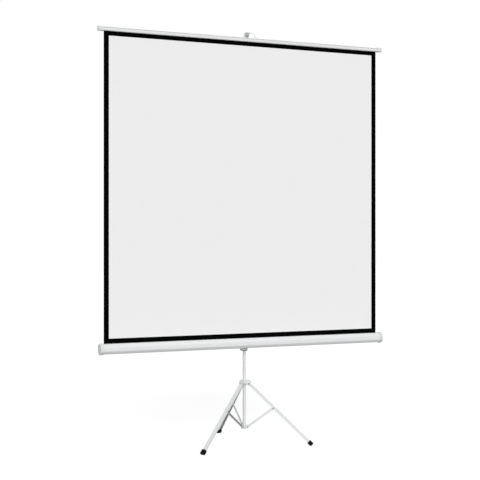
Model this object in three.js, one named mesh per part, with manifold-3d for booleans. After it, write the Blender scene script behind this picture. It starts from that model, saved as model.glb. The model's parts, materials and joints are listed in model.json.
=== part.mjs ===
// Tripod projector screen: a square 1.8 m screen that pulls up out of a long eight-sided case. The
// case rides on a square mast, an extension rod inside the mast holds the screen's top bar on a hook,
// and three folding legs with braces carry the mast. Millimetres, +Z up, the viewer's side is -Y.
import * as THREE from 'three';
import { mergeVertices } from 'three/addons/utils/BufferGeometryUtils.js';
import Module from 'manifold-3d';

const wasm = await Module();
wasm.setup();

// Clearances and facets
const SEAT_GAP = 0.3; // between two pieces that seat on each other
const RUNNING_GAP = 0.6; // between two pieces that slide or turn on each other
const CUT_OVERRUN = 2; // how far a cutting tool runs past the face that it opens
const WELD_DISTANCE = 0.0001; // vertices closer than this are one vertex
const ROUND_SIDES = 24;
const SMALL_SIDES = 16;
const CORNER_STEPS = 3;

// Projection fabric
const SCREEN_SIDE = 1800; // outside of the black border that shows, a square
const SCREEN_RISE = 27.5; // border's lower edge above the case's axis
const BORDER_WIDTH = 31; // sides and bottom
const BORDER_HEADER = 25.5; // what shows of the border under the top bar
const BORDER_THICKNESS = 0.3;
const FABRIC_THICKNESS = 0.8;
const FABRIC_FORWARD = 40; // fabric plane, in front of the mast's axis

// Roller and its spring
const ROLLER_RADIUS = 11;
const ROLLER_WALL = 0.8;
const ROLLER_PLAY = 3; // between the roller's end and the end cap's boss
const WRAPS_THICKNESS = 1.2; // turns of fabric that stay on the roller
const ROLLER_PLUG_LENGTH = 16;
const ROLLER_FLANGE = 2;
const AXLE_RADIUS = 4;
const SPRING_RADIUS = 7.8;
const SPRING_WALL = 1.6;
const SPRING_LENGTH = 300;
const SPRING_SHAFT_TAIL = 12; // shaft past the spring's inner end

// Case
const CASE_OVERHANG = 30; // case past the screen's edge, each end
const CASE_HEIGHT = 622; // height of the case's axis
const CASE_ACROSS = 60; // across the flats of the eight-sided shell
const CASE_WALL = 1.4;
const CASE_SLOT = 8.4; // slot that the fabric leaves by
const CAP_ACROSS = 66;
const CAP_LENGTH = 19;
const CAP_END = 4; // thickness of an end cap's closed end
const CAP_EDGE = 2; // chamfer round an end cap
const CAP_BOSS_RADIUS = 8;
const CAP_BOSS_LENGTH = 12;
const CAP_SCREW_RADIUS = 1.6;
const CAP_SCREW_HEAD_RADIUS = 3.2;
const CAP_SCREW_HEAD = 1.6;

// Top bar and pull bail
const BAR_OVERHANG = 35.5; // bar past the screen's edge, each end
const BAR_DEPTH = 26;
const BAR_HEIGHT = 23;
const BAR_CORNER = 4;
const BAR_WALL = 1.2;
const BAR_BACK = 9; // bar behind the fabric plane
const BAR_SLOT = 3.2;
const HEM_ROD_RADIUS = 2.5;
const BAR_CAP_LENGTH = 32;
const BAR_CAP_WALL = 1.4;
const BAIL_OFFSET = 21; // the bail sits a little to the right of the mast, as photographed
const BAIL_HALF_WIDTH = 34;
const BAIL_HEIGHT = 34; // wire centre above the pivot, along the bail
const BAIL_CORNER = 20;
const BAIL_WIRE = 2.5;
const BAIL_FOOT = 9; // straight end of the wire inside a clip
const BAIL_STEPS = 30;
const BAIL_CORNER_POINTS = 6;
const CLIP_WIDTH = 8;
const CLIP_DEPTH = 10;
const CLIP_HEIGHT = 8;

// Mast, extension rod and hook
const MAST_WIDTH = 16;
const MAST_WALL = 1.2;
const MAST_CORNER = 1.6;
const MAST_BOTTOM = 97;
const MAST_TOP = 1400;
const PLUG_FLANGE = 1.5;
const PLUG_SPIGOT = 12;
const ROD_WIDTH = 12.4;
const ROD_WALL = 1;
const ROD_OVERLAP = 220; // length of rod inside the mast
const ROD_RISE = 1.5; // rod's top above the top bar's roof
const GUIDE_LENGTH = 18;
const HOOK_CAP_WIDTH = 18;
const HOOK_CAP_LENGTH = 34;
const HOOK_CAP_ROOF = 5;
const HOOK_WIDTH = 19;
const HOOK_OFFSET = 12.5; // hook to the right of the rod, towards the middle of the bail
const HOOK_TIP = 4;
const HOOK_BEND = 4; // inner corner at the back of the hook
const HOOK_FLOOR = 6;
const HOOK_SLOT = 9;
const HOOK_RISE = 6.5; // hook's back above the bail wire's centre
const HOOK_BAR_GAP = 0.5;
const WIRE_GAP = 0.9; // under the bail wire, in the hook
const WIRE_PATH_GAP = 1; // between the hook's lip and the path of the wire that swings off it

// Clamp collar at the mast's top
const ROD_COLLAR_WIDTH = 26;
const ROD_COLLAR_FRONT = 11.6;
const ROD_COLLAR_BACK = 17;
const ROD_COLLAR_LENGTH = 36;
const ROD_COLLAR_ROOF = 12;
const ROD_COLLAR_CORNER = 4;
const ROD_KNOB_DROP = 12; // knob's axis below the mast's top
const COLLAR_SCREW_RADIUS = 1.6;
const COLLAR_SCREW_HEAD_RADIUS = 3;
const COLLAR_SCREW_HEAD = 1.4;
const COLLAR_SCREW_DROP = 17; // screw below the mast's top

// Star knobs
const KNOB_RADIUS = 14;
const KNOB_LOBE_DEPTH = 2.6;
const KNOB_LOBES = 6;
const KNOB_OUTLINE_STEPS = 48;
const KNOB_LENGTH = 14;
const KNOB_CHAMFER = 1.5;
const KNOB_NECK_RADIUS = 7;
const KNOB_NECK = 4;
const STUD_RADIUS = 3;

// Carriage that carries the case on the mast
const CARRIAGE_WIDTH = 32;
const CARRIAGE_FRONT = 14;
const CARRIAGE_BACK = 33;
const CARRIAGE_BELOW = 52; // carriage below the case's axis
const CARRIAGE_ABOVE = 26;
const CARRIAGE_CORNER = 4;
const BAND_THICKNESS = 1;
const BAND_HEIGHT = 8;
const BAND_RISE = 7; // band above the carriage's lower face
const CARRIAGE_KNOB_DROP = 18; // knob's axis below the case's axis
const PIVOT_RADIUS = 4;
const PIVOT_HEAD_RADIUS = 8;
const PIVOT_HEAD = 3;
const BRACKET_HEIGHT = 22;
const BRACKET_WALL = 2;
const BRACKET_HALF_WIDTH = 38;
const BRACKET_HUMP = 22; // half width of the raised middle
const BRACKET_RIVET_X = 30;
const BRACKET_RIVET_RADIUS = 1.8;
const BRACKET_RIVET_HEAD_RADIUS = 3.5;
const BRACKET_RIVET_HEAD = 1.2;
const BRACKET_RIVET_TAIL = 1; // past the inside of the case wall

// Leg hub
const HUB_SLEEVE_WIDTH = 21;
const HUB_BELOW = 10; // hub's sleeve below the legs' pivots
const HUB_ABOVE = 21;
const HUB_ARM_BELOW = 9;
const HUB_ARM_REACH = 38;
const HUB_ARM_ROUND = 12;
const HUB_EAR = 2.2;
const HUB_SCREW_RISE = 3; // screw above the legs' pivots
const HUB_BOSS_RADIUS = 6;
const HUB_BOSS_FRONT = 17;
const HUB_SCREW_RADIUS = 2;
const HUB_SCREW_HEAD_RADIUS = 5;
const HUB_SCREW_HEAD = 6;

// Legs, braces and feet
const LEGS = [
  { name: 'front_left', azimuth: -150, pinSide: 1 },
  { name: 'front_right', azimuth: -30, pinSide: -1 },
  { name: 'rear', azimuth: 90, pinSide: 1 },
];
const LEG_PIVOT_RADIUS = 28; // distance of a leg's pivot from the mast's axis
const LEG_PIVOT_HEIGHT = 370;
const FOOT_RADIUS = 418; // where a leg's centre line meets the floor
const LEG_WIDTH = 19;
const LEG_DEPTH = 15;
const LEG_WALL = 1.4;
const LEG_CORNER = 2.4;
const LEG_END_RISE = 4; // lowest corner of the leg's end above the floor
const LEG_PIN_RADIUS = 2.5;
const LEG_PIN_HEAD_RADIUS = 4.5;
const LEG_PIN_HEAD = 1.6;
const FOOT_WIDTH = 27;
const FOOT_DEPTH = 24;
const FOOT_CORNER = 5;
const FOOT_SLEEVE = 22; // length of leg inside the rubber foot
const FOOT_END = 8; // rubber under the leg's end, square to the leg
const BRACE_ON_LEG = 210; // rivet from the leg's pivot, along the leg
const BRACE_INSET = 2.5; // rivet inwards from the leg's centre line
const BRACE_WIDTH = 13.5;
const BRACE_THICKNESS = 5.5;
const BRACE_RIVET_RADIUS = 2;
const BRACE_RIVET_HEAD_RADIUS = 4;
const BRACE_RIVET_HEAD = 1.4;

// Brace collar at the mast's foot
const COLLAR_RISE = 0.5; // collar above the mast's lower end
const COLLAR_HEIGHT = 20;
const COLLAR_WIDTH = 24;
const COLLAR_PIVOT_RADIUS = 20;
const COLLAR_PIVOT_RISE = 10.5;
const COLLAR_REACH = 26;
const COLLAR_EAR = 2.8;
const COLLAR_SLOT_INNER = 11.8;
const COLLAR_PIN_RADIUS = 2;
const COLLAR_PIN_HEAD_RADIUS = 3.5;
const COLLAR_PIN_HEAD = 1.2;

// Places worked out from the sizes
const legAngle = Math.atan2(FOOT_RADIUS - LEG_PIVOT_RADIUS, LEG_PIVOT_HEIGHT); // from upright
const legEndDrop = LEG_PIVOT_HEIGHT - LEG_END_RISE - (LEG_DEPTH / 2) * Math.sin(legAngle);
const legLength = legEndDrop / Math.cos(legAngle);
const wrapsRadius = ROLLER_RADIUS + SEAT_GAP + WRAPS_THICKNESS;
const caseForward = FABRIC_FORWARD + FABRIC_THICKNESS / 2 + SEAT_GAP + wrapsRadius;
const caseBack = caseForward - CASE_ACROSS / 2; // back face of the case, in front of the mast's axis
const caseHalf = SCREEN_SIDE / 2 + CASE_OVERHANG;
const capInner = caseHalf - CAP_END;
const shellHalf = capInner - SEAT_GAP;
const rollerHalf = capInner - CAP_BOSS_LENGTH - ROLLER_PLAY - ROLLER_FLANGE - SEAT_GAP;
const screenBottom = CASE_HEIGHT + SCREEN_RISE;
const barHalf = SCREEN_SIDE / 2 + BAR_OVERHANG;
const barBottom = screenBottom + SCREEN_SIDE;
const barForward = FABRIC_FORWARD - BAR_BACK + BAR_DEPTH / 2;
const barTop = barBottom + BAR_HEIGHT;
const mastBore = MAST_WIDTH - 2 * MAST_WALL;
const rodTop = barTop + ROD_RISE;
const rodBottom = MAST_TOP - ROD_OVERLAP;
const collarBottom = MAST_BOTTOM + COLLAR_RISE;
const collarPivotHeight = collarBottom + COLLAR_PIVOT_RISE;
const bailPivotForward = FABRIC_FORWARD - BAR_BACK + CLIP_DEPTH / 2;
const bailPivotHeight = barTop + SEAT_GAP + CLIP_HEIGHT / 2;
const hookTipForward = FABRIC_FORWARD - BAR_BACK - HOOK_BAR_GAP;
const wireForward = hookTipForward - HOOK_TIP - HOOK_SLOT / 2;
const bailLean = Math.asin((bailPivotForward - wireForward) / BAIL_HEIGHT);
const wireHeight = bailPivotHeight + BAIL_HEIGHT * Math.cos(bailLean);
const lipReach = BAIL_HEIGHT - BAIL_WIRE - WIRE_PATH_GAP; // from the bail's pivot to the hook's lip
const lipTop = (forward) => bailPivotHeight + Math.sqrt(lipReach ** 2 - (bailPivotForward - forward) ** 2);

// Building blocks
function finish(color, roughness, metalness = 0) {
  return new THREE.MeshStandardMaterial({ color, roughness, metalness });
}

const whitePaint = () => finish(0xe4e5e6, 0.45);
const whitePlastic = () => finish(0xdedfe0, 0.5);
const greyPlastic = () => finish(0x6f7173, 0.55);
const blackRubber = () => finish(0x141414, 0.8);
const bareSteel = () => finish(0xb9bbbd, 0.35, 0.9);
const fabricWhite = () => finish(0xebebea, 0.9);
const borderBlack = () => finish(0x050505, 0.85);

function toSolid(geometry) {
  const bare = geometry.clone();
  bare.deleteAttribute('normal');
  bare.deleteAttribute('uv');
  const welded = mergeVertices(bare, WELD_DISTANCE);
  const triVerts = Uint32Array.from(welded.index.array);
  const vertProperties = Float32Array.from(welded.attributes.position.array);
  return new wasm.Manifold(new wasm.Mesh({ numProp: 3, vertProperties, triVerts }));
}

function toGeometry(manifold) {
  const mesh = manifold.getMesh();
  const geometry = new THREE.BufferGeometry();
  geometry.setAttribute('position', new THREE.BufferAttribute(mesh.vertProperties, 3));
  geometry.setIndex(new THREE.BufferAttribute(mesh.triVerts, 1));
  geometry.computeVertexNormals();
  return geometry;
}

function combine(operation, first, others) {
  let result = toSolid(first);
  for (const other of others) result = result[operation](toSolid(other));
  return toGeometry(result);
}

const join = (first, ...others) => combine('add', first, others);
const cut = (first, ...tools) => combine('subtract', first, tools);
const common = (first, ...others) => combine('intersect', first, others);

// A box given by its lowest and highest corner.
function block(low, high) {
  const size = high.map((value, axis) => value - low[axis]);
  const geometry = new THREE.BoxGeometry(...size);
  return geometry.translate(...high.map((value, axis) => (value + low[axis]) / 2));
}

// A cylinder between two places on one axis, through the point (across, up) of the other two.
function round(axis, from, to, radius, [first, second] = [0, 0], sides = ROUND_SIDES) {
  const geometry = new THREE.CylinderGeometry(radius, radius, to - from, sides);
  geometry.translate(0, (to + from) / 2, 0);
  if (axis === 'x') geometry.rotateZ(-Math.PI / 2).translate(0, first, second);
  if (axis === 'y') geometry.translate(first, 0, second);
  if (axis === 'z') geometry.rotateX(Math.PI / 2).translate(first, second, 0);
  return geometry;
}

function roundedRectangle(width, height, corner) {
  const [x, y] = [width / 2, height / 2];
  const shape = new THREE.Shape();
  shape.moveTo(-x + corner, -y);
  shape.lineTo(x - corner, -y);
  shape.absarc(x - corner, -y + corner, corner, -Math.PI / 2, 0);
  shape.absarc(x - corner, y - corner, corner, 0, Math.PI / 2);
  shape.absarc(-x + corner, y - corner, corner, Math.PI / 2, Math.PI);
  shape.absarc(-x + corner, -y + corner, corner, Math.PI, 1.5 * Math.PI);
  return shape;
}

function octagon(acrossFlats) {
  const radius = acrossFlats / 2 / Math.cos(Math.PI / 8);
  const shape = new THREE.Shape();
  for (let i = 0; i < 8; i += 1) {
    const angle = Math.PI / 8 + (i * Math.PI) / 4;
    shape[i ? 'lineTo' : 'moveTo'](radius * Math.cos(angle), radius * Math.sin(angle));
  }
  return shape;
}

// An outline drawn in (Y, Z) and run along X, or in (X, Z) and run along Y, or in (X, Y) along Z.
function run(axis, shape, from, to, curveSegments = CORNER_STEPS, chamfer = 0) {
  const geometry = new THREE.ExtrudeGeometry(shape, {
    depth: to - from - 2 * chamfer,
    bevelEnabled: chamfer > 0,
    bevelThickness: chamfer,
    bevelSize: chamfer,
    bevelOffset: -chamfer,
    bevelSegments: 1,
    curveSegments,
  });
  geometry.translate(0, 0, chamfer);
  if (axis === 'x') {
    geometry.rotateX(Math.PI / 2).rotateZ(Math.PI / 2).translate(from, 0, 0);
  }
  if (axis === 'y') geometry.rotateX(Math.PI / 2).translate(0, to, 0);
  if (axis === 'z') geometry.translate(0, 0, from);
  return geometry;
}

function squareBar(width, corner, bottom, top) {
  return run('z', roundedRectangle(width, width, corner), bottom, top);
}

function squareTube(width, wall, corner, bottom, top) {
  const outline = roundedRectangle(width, width, corner);
  outline.holes.push(roundedRectangle(width - 2 * wall, width - 2 * wall, corner - wall / 2));
  return run('z', outline, bottom, top);
}

// A pin that is turned about Y: a shank with a head at one end or at both.
function pinAlongY(from, to, radius, headRadius, head, headsAt) {
  const parts = [round('y', from, to, radius, [0, 0], SMALL_SIDES)];
  if (headsAt.includes('from')) parts.push(round('y', from - head, from, headRadius, [0, 0], SMALL_SIDES));
  if (headsAt.includes('to')) parts.push(round('y', to, to + head, headRadius, [0, 0], SMALL_SIDES));
  return join(...parts);
}

// A star knob on the +Y side, its neck's foot at y = from, with a stud that runs on to y = studEnd.
function starKnob(from, studEnd) {
  const outline = new THREE.Shape();
  for (let i = 0; i < KNOB_OUTLINE_STEPS; i += 1) {
    const angle = (2 * Math.PI * i) / KNOB_OUTLINE_STEPS;
    const radius = KNOB_RADIUS - (KNOB_LOBE_DEPTH * (1 - Math.cos(KNOB_LOBES * angle))) / 2;
    outline[i ? 'lineTo' : 'moveTo'](radius * Math.cos(angle), radius * Math.sin(angle));
  }
  const neckEnd = from + KNOB_NECK;
  return join(
    run('y', outline, neckEnd, neckEnd + KNOB_LENGTH, 1, KNOB_CHAMFER),
    round('y', from, neckEnd + KNOB_CHAMFER, KNOB_NECK_RADIUS),
    round('y', studEnd, from + KNOB_NECK, STUD_RADIUS, [0, 0], SMALL_SIDES),
  );
}

function piece(parent, name, material, geometry) {
  const mesh = new THREE.Mesh(geometry, material);
  mesh.name = name;
  parent.add(mesh);
  return mesh;
}

// Mast: the square outer tube, its end plug and the clamp collar for the extension rod
function makeMast() {
  const mast = new THREE.Group();
  const half = MAST_WIDTH / 2;
  const knobHeight = MAST_TOP - ROD_KNOB_DROP;
  const screwHeight = MAST_TOP - COLLAR_SCREW_DROP;

  piece(mast, 'mast_tube', whitePaint(), cut(
    squareTube(MAST_WIDTH, MAST_WALL, MAST_CORNER, MAST_BOTTOM, MAST_TOP),
    round('y', 0, half + CUT_OVERRUN, STUD_RADIUS + RUNNING_GAP, [0, knobHeight], SMALL_SIDES),
    round('x', 0, half + CUT_OVERRUN, COLLAR_SCREW_RADIUS + SEAT_GAP, [0, screwHeight], SMALL_SIDES),
  ));

  const plugTop = MAST_BOTTOM - SEAT_GAP;
  const plugBottom = plugTop - PLUG_FLANGE;
  piece(mast, 'mast_end_plug', greyPlastic(), join(
    squareBar(MAST_WIDTH, MAST_CORNER, plugBottom, plugTop),
    squareBar(mastBore - 2 * SEAT_GAP, MAST_CORNER, plugBottom, MAST_BOTTOM + PLUG_SPIGOT),
  ));

  const clampMiddle = (ROD_COLLAR_BACK - ROD_COLLAR_FRONT) / 2;
  const clampTop = MAST_TOP + SEAT_GAP + ROD_COLLAR_ROOF;
  const clampBottom = clampTop - ROD_COLLAR_LENGTH;
  const clampDepth = ROD_COLLAR_FRONT + ROD_COLLAR_BACK;
  const clampOutline = roundedRectangle(ROD_COLLAR_WIDTH, clampDepth, ROD_COLLAR_CORNER);
  const mastHole = half + SEAT_GAP;
  const rodHole = ROD_WIDTH / 2 + RUNNING_GAP;
  piece(mast, 'rod_collar', greyPlastic(), cut(
    run('z', clampOutline, clampBottom, clampTop, CORNER_STEPS, KNOB_CHAMFER).translate(0, clampMiddle, 0),
    block([-mastHole, -mastHole, clampBottom - CUT_OVERRUN], [mastHole, mastHole, MAST_TOP + SEAT_GAP]),
    block([-rodHole, -rodHole, MAST_TOP], [rodHole, rodHole, clampTop + CUT_OVERRUN]),
    round('y', 0, ROD_COLLAR_BACK + CUT_OVERRUN, STUD_RADIUS + SEAT_GAP, [0, knobHeight], SMALL_SIDES),
    round('x', 0, ROD_COLLAR_WIDTH, COLLAR_SCREW_RADIUS + SEAT_GAP, [0, screwHeight], SMALL_SIDES),
  ));

  const screwAxis = [0, screwHeight];
  const screwSeat = ROD_COLLAR_WIDTH / 2 + SEAT_GAP;
  const screwTop = screwSeat + COLLAR_SCREW_HEAD;
  piece(mast, 'rod_collar_screw', bareSteel(), join(
    round('x', half - MAST_WALL, screwSeat, COLLAR_SCREW_RADIUS, screwAxis, SMALL_SIDES),
    round('x', screwSeat, screwTop, COLLAR_SCREW_HEAD_RADIUS, screwAxis, SMALL_SIDES),
  ));

  const knob = piece(mast, 'rod_lock_knob', greyPlastic(),
    starKnob(ROD_COLLAR_BACK + SEAT_GAP, ROD_WIDTH / 2 + SEAT_GAP));
  knob.position.z = knobHeight;
  return mast;
}

// Brace collar: a sleeve on the mast's foot with a pair of ears for each brace
function makeBraceCollar() {
  const collar = new THREE.Group();
  const top = collarBottom + COLLAR_HEIGHT;
  const slotHalf = BRACE_THICKNESS / 2 + SEAT_GAP;
  const earFace = slotHalf + COLLAR_EAR;
  const bore = MAST_WIDTH / 2 + SEAT_GAP;
  const sleeve = COLLAR_WIDTH / 2;

  const lugs = [];
  const tools = [];
  for (const { azimuth } of LEGS) {
    const turn = THREE.MathUtils.degToRad(azimuth);
    const lug = block([bore, -earFace, collarBottom], [COLLAR_REACH, earFace, top]);
    const slotLow = [COLLAR_SLOT_INNER, -slotHalf, collarBottom - CUT_OVERRUN];
    const slot = block(slotLow, [COLLAR_REACH + CUT_OVERRUN, slotHalf, top + CUT_OVERRUN]);
    const hole = round('y', -earFace - CUT_OVERRUN, earFace + CUT_OVERRUN, COLLAR_PIN_RADIUS + SEAT_GAP,
      [COLLAR_PIVOT_RADIUS, collarPivotHeight], SMALL_SIDES);
    lugs.push(lug.rotateZ(turn));
    tools.push(slot.rotateZ(turn), hole.rotateZ(turn));
  }
  const body = join(block([-sleeve, -sleeve, collarBottom], [sleeve, sleeve, top]), ...lugs);
  const boreTool = block([-bore, -bore, collarBottom - CUT_OVERRUN], [bore, bore, top + CUT_OVERRUN]);
  piece(collar, 'brace_collar', whitePlastic(), cut(body, boreTool, ...tools));

  // Each pin stops short of the brace: this is the pivot that the folding linkage leaves open.
  for (const { name, azimuth, pinSide } of LEGS) {
    const pin = piece(collar, `collar_pin_${name}`, bareSteel(), pinAlongY(
      slotHalf, earFace + SEAT_GAP, COLLAR_PIN_RADIUS, COLLAR_PIN_HEAD_RADIUS, COLLAR_PIN_HEAD, ['to'],
    ));
    const arm = new THREE.Group();
    arm.rotation.z = THREE.MathUtils.degToRad(azimuth);
    pin.position.set(COLLAR_PIVOT_RADIUS, 0, collarPivotHeight);
    pin.rotation.z = pinSide > 0 ? 0 : Math.PI;
    arm.add(pin);
    collar.add(arm);
  }
  return collar;
}

// Leg hub: a sleeve that slides on the mast, with an arm over the top of each leg
function makeHub() {
  const hub = new THREE.Group();
  hub.position.z = LEG_PIVOT_HEIGHT;
  const armHalf = LEG_WIDTH / 2 + RUNNING_GAP + HUB_EAR;
  const slotHalf = LEG_WIDTH / 2 + RUNNING_GAP;
  const slotInner = LEG_PIVOT_RADIUS - LEG_DEPTH / 2 - RUNNING_GAP;
  const slotTop = LEG_DEPTH / 2 + RUNNING_GAP;
  const bore = MAST_WIDTH / 2 + SEAT_GAP;
  const sleeve = HUB_SLEEVE_WIDTH / 2;

  const [roundReach, roundRise] = [HUB_ARM_REACH - HUB_ARM_ROUND, HUB_ABOVE - HUB_ARM_ROUND];
  const armOutline = new THREE.Shape();
  armOutline.moveTo(0, -HUB_ARM_BELOW);
  armOutline.lineTo(HUB_ARM_REACH, -HUB_ARM_BELOW);
  armOutline.lineTo(HUB_ARM_REACH, roundRise);
  armOutline.absarc(roundReach, roundRise, HUB_ARM_ROUND, 0, Math.PI / 2);
  armOutline.lineTo(0, HUB_ABOVE);

  const arms = [];
  const tools = [];
  for (const { azimuth } of LEGS) {
    const turn = THREE.MathUtils.degToRad(azimuth);
    const arm = run('y', armOutline, -armHalf, armHalf, ROUND_SIDES / 3);
    const slotLow = [slotInner, -slotHalf, -HUB_ARM_BELOW - CUT_OVERRUN];
    const slot = block(slotLow, [HUB_ARM_REACH + CUT_OVERRUN, slotHalf, slotTop]);
    const hole = round('y', -armHalf - CUT_OVERRUN, armHalf + CUT_OVERRUN, LEG_PIN_RADIUS + SEAT_GAP,
      [LEG_PIVOT_RADIUS, 0], SMALL_SIDES);
    arms.push(arm.rotateZ(turn));
    tools.push(slot.rotateZ(turn), hole.rotateZ(turn));
  }
  const body = join(
    block([-sleeve, -sleeve, -HUB_BELOW], [sleeve, sleeve, HUB_ABOVE]),
    ...arms,
    round('y', -HUB_BOSS_FRONT, -bore, HUB_BOSS_RADIUS, [0, HUB_SCREW_RISE]),
  );
  piece(hub, 'leg_hub', whitePlastic(), cut(
    body,
    block([-bore, -bore, -HUB_BELOW - CUT_OVERRUN], [bore, bore, HUB_ABOVE + CUT_OVERRUN]),
    round('y', -HUB_BOSS_FRONT - CUT_OVERRUN, 0, HUB_SCREW_RADIUS + SEAT_GAP,
      [0, HUB_SCREW_RISE], SMALL_SIDES),
    ...tools,
  ));

  const seat = HUB_BOSS_FRONT + SEAT_GAP;
  piece(hub, 'hub_lock_screw', whitePlastic(), join(
    round('y', -seat, -bore, HUB_SCREW_RADIUS, [0, 0], SMALL_SIDES),
    round('y', -seat - HUB_SCREW_HEAD, -seat, HUB_SCREW_HEAD_RADIUS),
  )).position.z = HUB_SCREW_RISE;

  for (const { name, azimuth } of LEGS) {
    const arm = new THREE.Group();
    arm.rotation.z = THREE.MathUtils.degToRad(azimuth);
    const reach = armHalf + SEAT_GAP;
    piece(arm, `leg_pin_${name}`, bareSteel(), pinAlongY(
      -reach, reach, LEG_PIN_RADIUS, LEG_PIN_HEAD_RADIUS, LEG_PIN_HEAD, ['from', 'to'],
    )).position.x = LEG_PIVOT_RADIUS;
    hub.add(arm);
  }
  return hub;
}

// A leg hangs down -Z from its pivot here: a channel with its web outwards, on +X
function legChannel() {
  const [depth, width] = [LEG_DEPTH / 2, LEG_WIDTH / 2];
  const outer = run('z', roundedRectangle(LEG_DEPTH, LEG_WIDTH, LEG_CORNER), -legLength, depth);
  const hollow = block(
    [-depth - CUT_OVERRUN, -width + LEG_WALL, -legLength - CUT_OVERRUN],
    [depth - LEG_WALL, width - LEG_WALL, depth + CUT_OVERRUN],
  );
  const side = new THREE.Shape();
  side.moveTo(-depth, -legLength);
  side.lineTo(depth, -legLength);
  side.absarc(0, 0, depth, 0, Math.PI);
  return cut(
    common(outer, run('y', side, -width, width, ROUND_SIDES / 2)),
    hollow,
    round('y', -LEG_WIDTH, LEG_WIDTH, LEG_PIN_RADIUS + SEAT_GAP, [0, 0], SMALL_SIDES),
    round('y', -LEG_WIDTH, LEG_WIDTH, BRACE_RIVET_RADIUS + SEAT_GAP,
      [-BRACE_INSET, -BRACE_ON_LEG], SMALL_SIDES),
  );
}

// The rubber foot's lowest edge is cut level with the floor, so it is made where it stands
function rubberFoot() {
  const toLeg = new THREE.Matrix4().makeRotationY(-legAngle);
  toLeg.setPosition(LEG_PIVOT_RADIUS, 0, LEG_PIVOT_HEIGHT);
  const sleeveTop = -legLength + FOOT_SLEEVE;
  const outer = run('z', roundedRectangle(FOOT_DEPTH, FOOT_WIDTH, FOOT_CORNER),
    -legLength - FOOT_END, sleeveTop, CORNER_STEPS, CAP_EDGE);
  const [depth, width] = [LEG_DEPTH / 2 + SEAT_GAP, LEG_WIDTH / 2 + SEAT_GAP];
  const pocket = block([-depth, -width, -legLength - SEAT_GAP], [depth, width, sleeveTop + CUT_OVERRUN]);
  const aboveFloor = block(
    [0, -FOOT_WIDTH, 0],
    [FOOT_RADIUS + 2 * FOOT_DEPTH, FOOT_WIDTH, LEG_PIVOT_HEIGHT],
  );
  return common(cut(outer.applyMatrix4(toLeg), pocket.applyMatrix4(toLeg)), aboveFloor);
}

function makeLeg({ name, azimuth }) {
  const arm = new THREE.Group();
  arm.rotation.z = THREE.MathUtils.degToRad(azimuth);
  const leg = new THREE.Group();
  leg.position.set(LEG_PIVOT_RADIUS, 0, LEG_PIVOT_HEIGHT);
  leg.rotation.y = -legAngle;
  arm.add(leg);
  piece(leg, `leg_${name}`, whitePaint(), legChannel());
  piece(arm, `foot_${name}`, blackRubber(), rubberFoot());

  const rivetReach = LEG_WIDTH / 2 + SEAT_GAP;
  const rivet = piece(leg, `brace_rivet_${name}`, bareSteel(), pinAlongY(
    -rivetReach, rivetReach, BRACE_RIVET_RADIUS, BRACE_RIVET_HEAD_RADIUS, BRACE_RIVET_HEAD, ['from', 'to'],
  ));
  rivet.position.set(-BRACE_INSET, 0, -BRACE_ON_LEG);

  // The brace hangs from that rivet and ends in the ears of the collar
  const top = new THREE.Vector3(-BRACE_INSET, 0, -BRACE_ON_LEG);
  top.applyAxisAngle(new THREE.Vector3(0, 1, 0), -legAngle).add(leg.position);
  const lowX = COLLAR_PIVOT_RADIUS;
  const lowZ = collarPivotHeight;
  const length = Math.hypot(top.x - lowX, top.z - lowZ);
  const end = BRACE_WIDTH / 2;
  const strip = new THREE.Shape();
  strip.absarc(0, 0, end, 0, Math.PI);
  strip.absarc(0, -length, end, Math.PI, 2 * Math.PI);
  for (const [z, radius] of [[0, BRACE_RIVET_RADIUS], [-length, COLLAR_PIN_RADIUS]]) {
    const hole = new THREE.Path();
    hole.absarc(0, z, radius + SEAT_GAP, 0, 2 * Math.PI);
    strip.holes.push(hole);
  }
  const halfThickness = BRACE_THICKNESS / 2;
  const brace = piece(arm, `brace_${name}`, whitePaint(),
    run('y', strip, -halfThickness, halfThickness, SMALL_SIDES / 2));
  brace.position.copy(top);
  brace.rotation.y = Math.atan2(top.x - lowX, top.z - lowZ);
  return arm;
}

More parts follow.
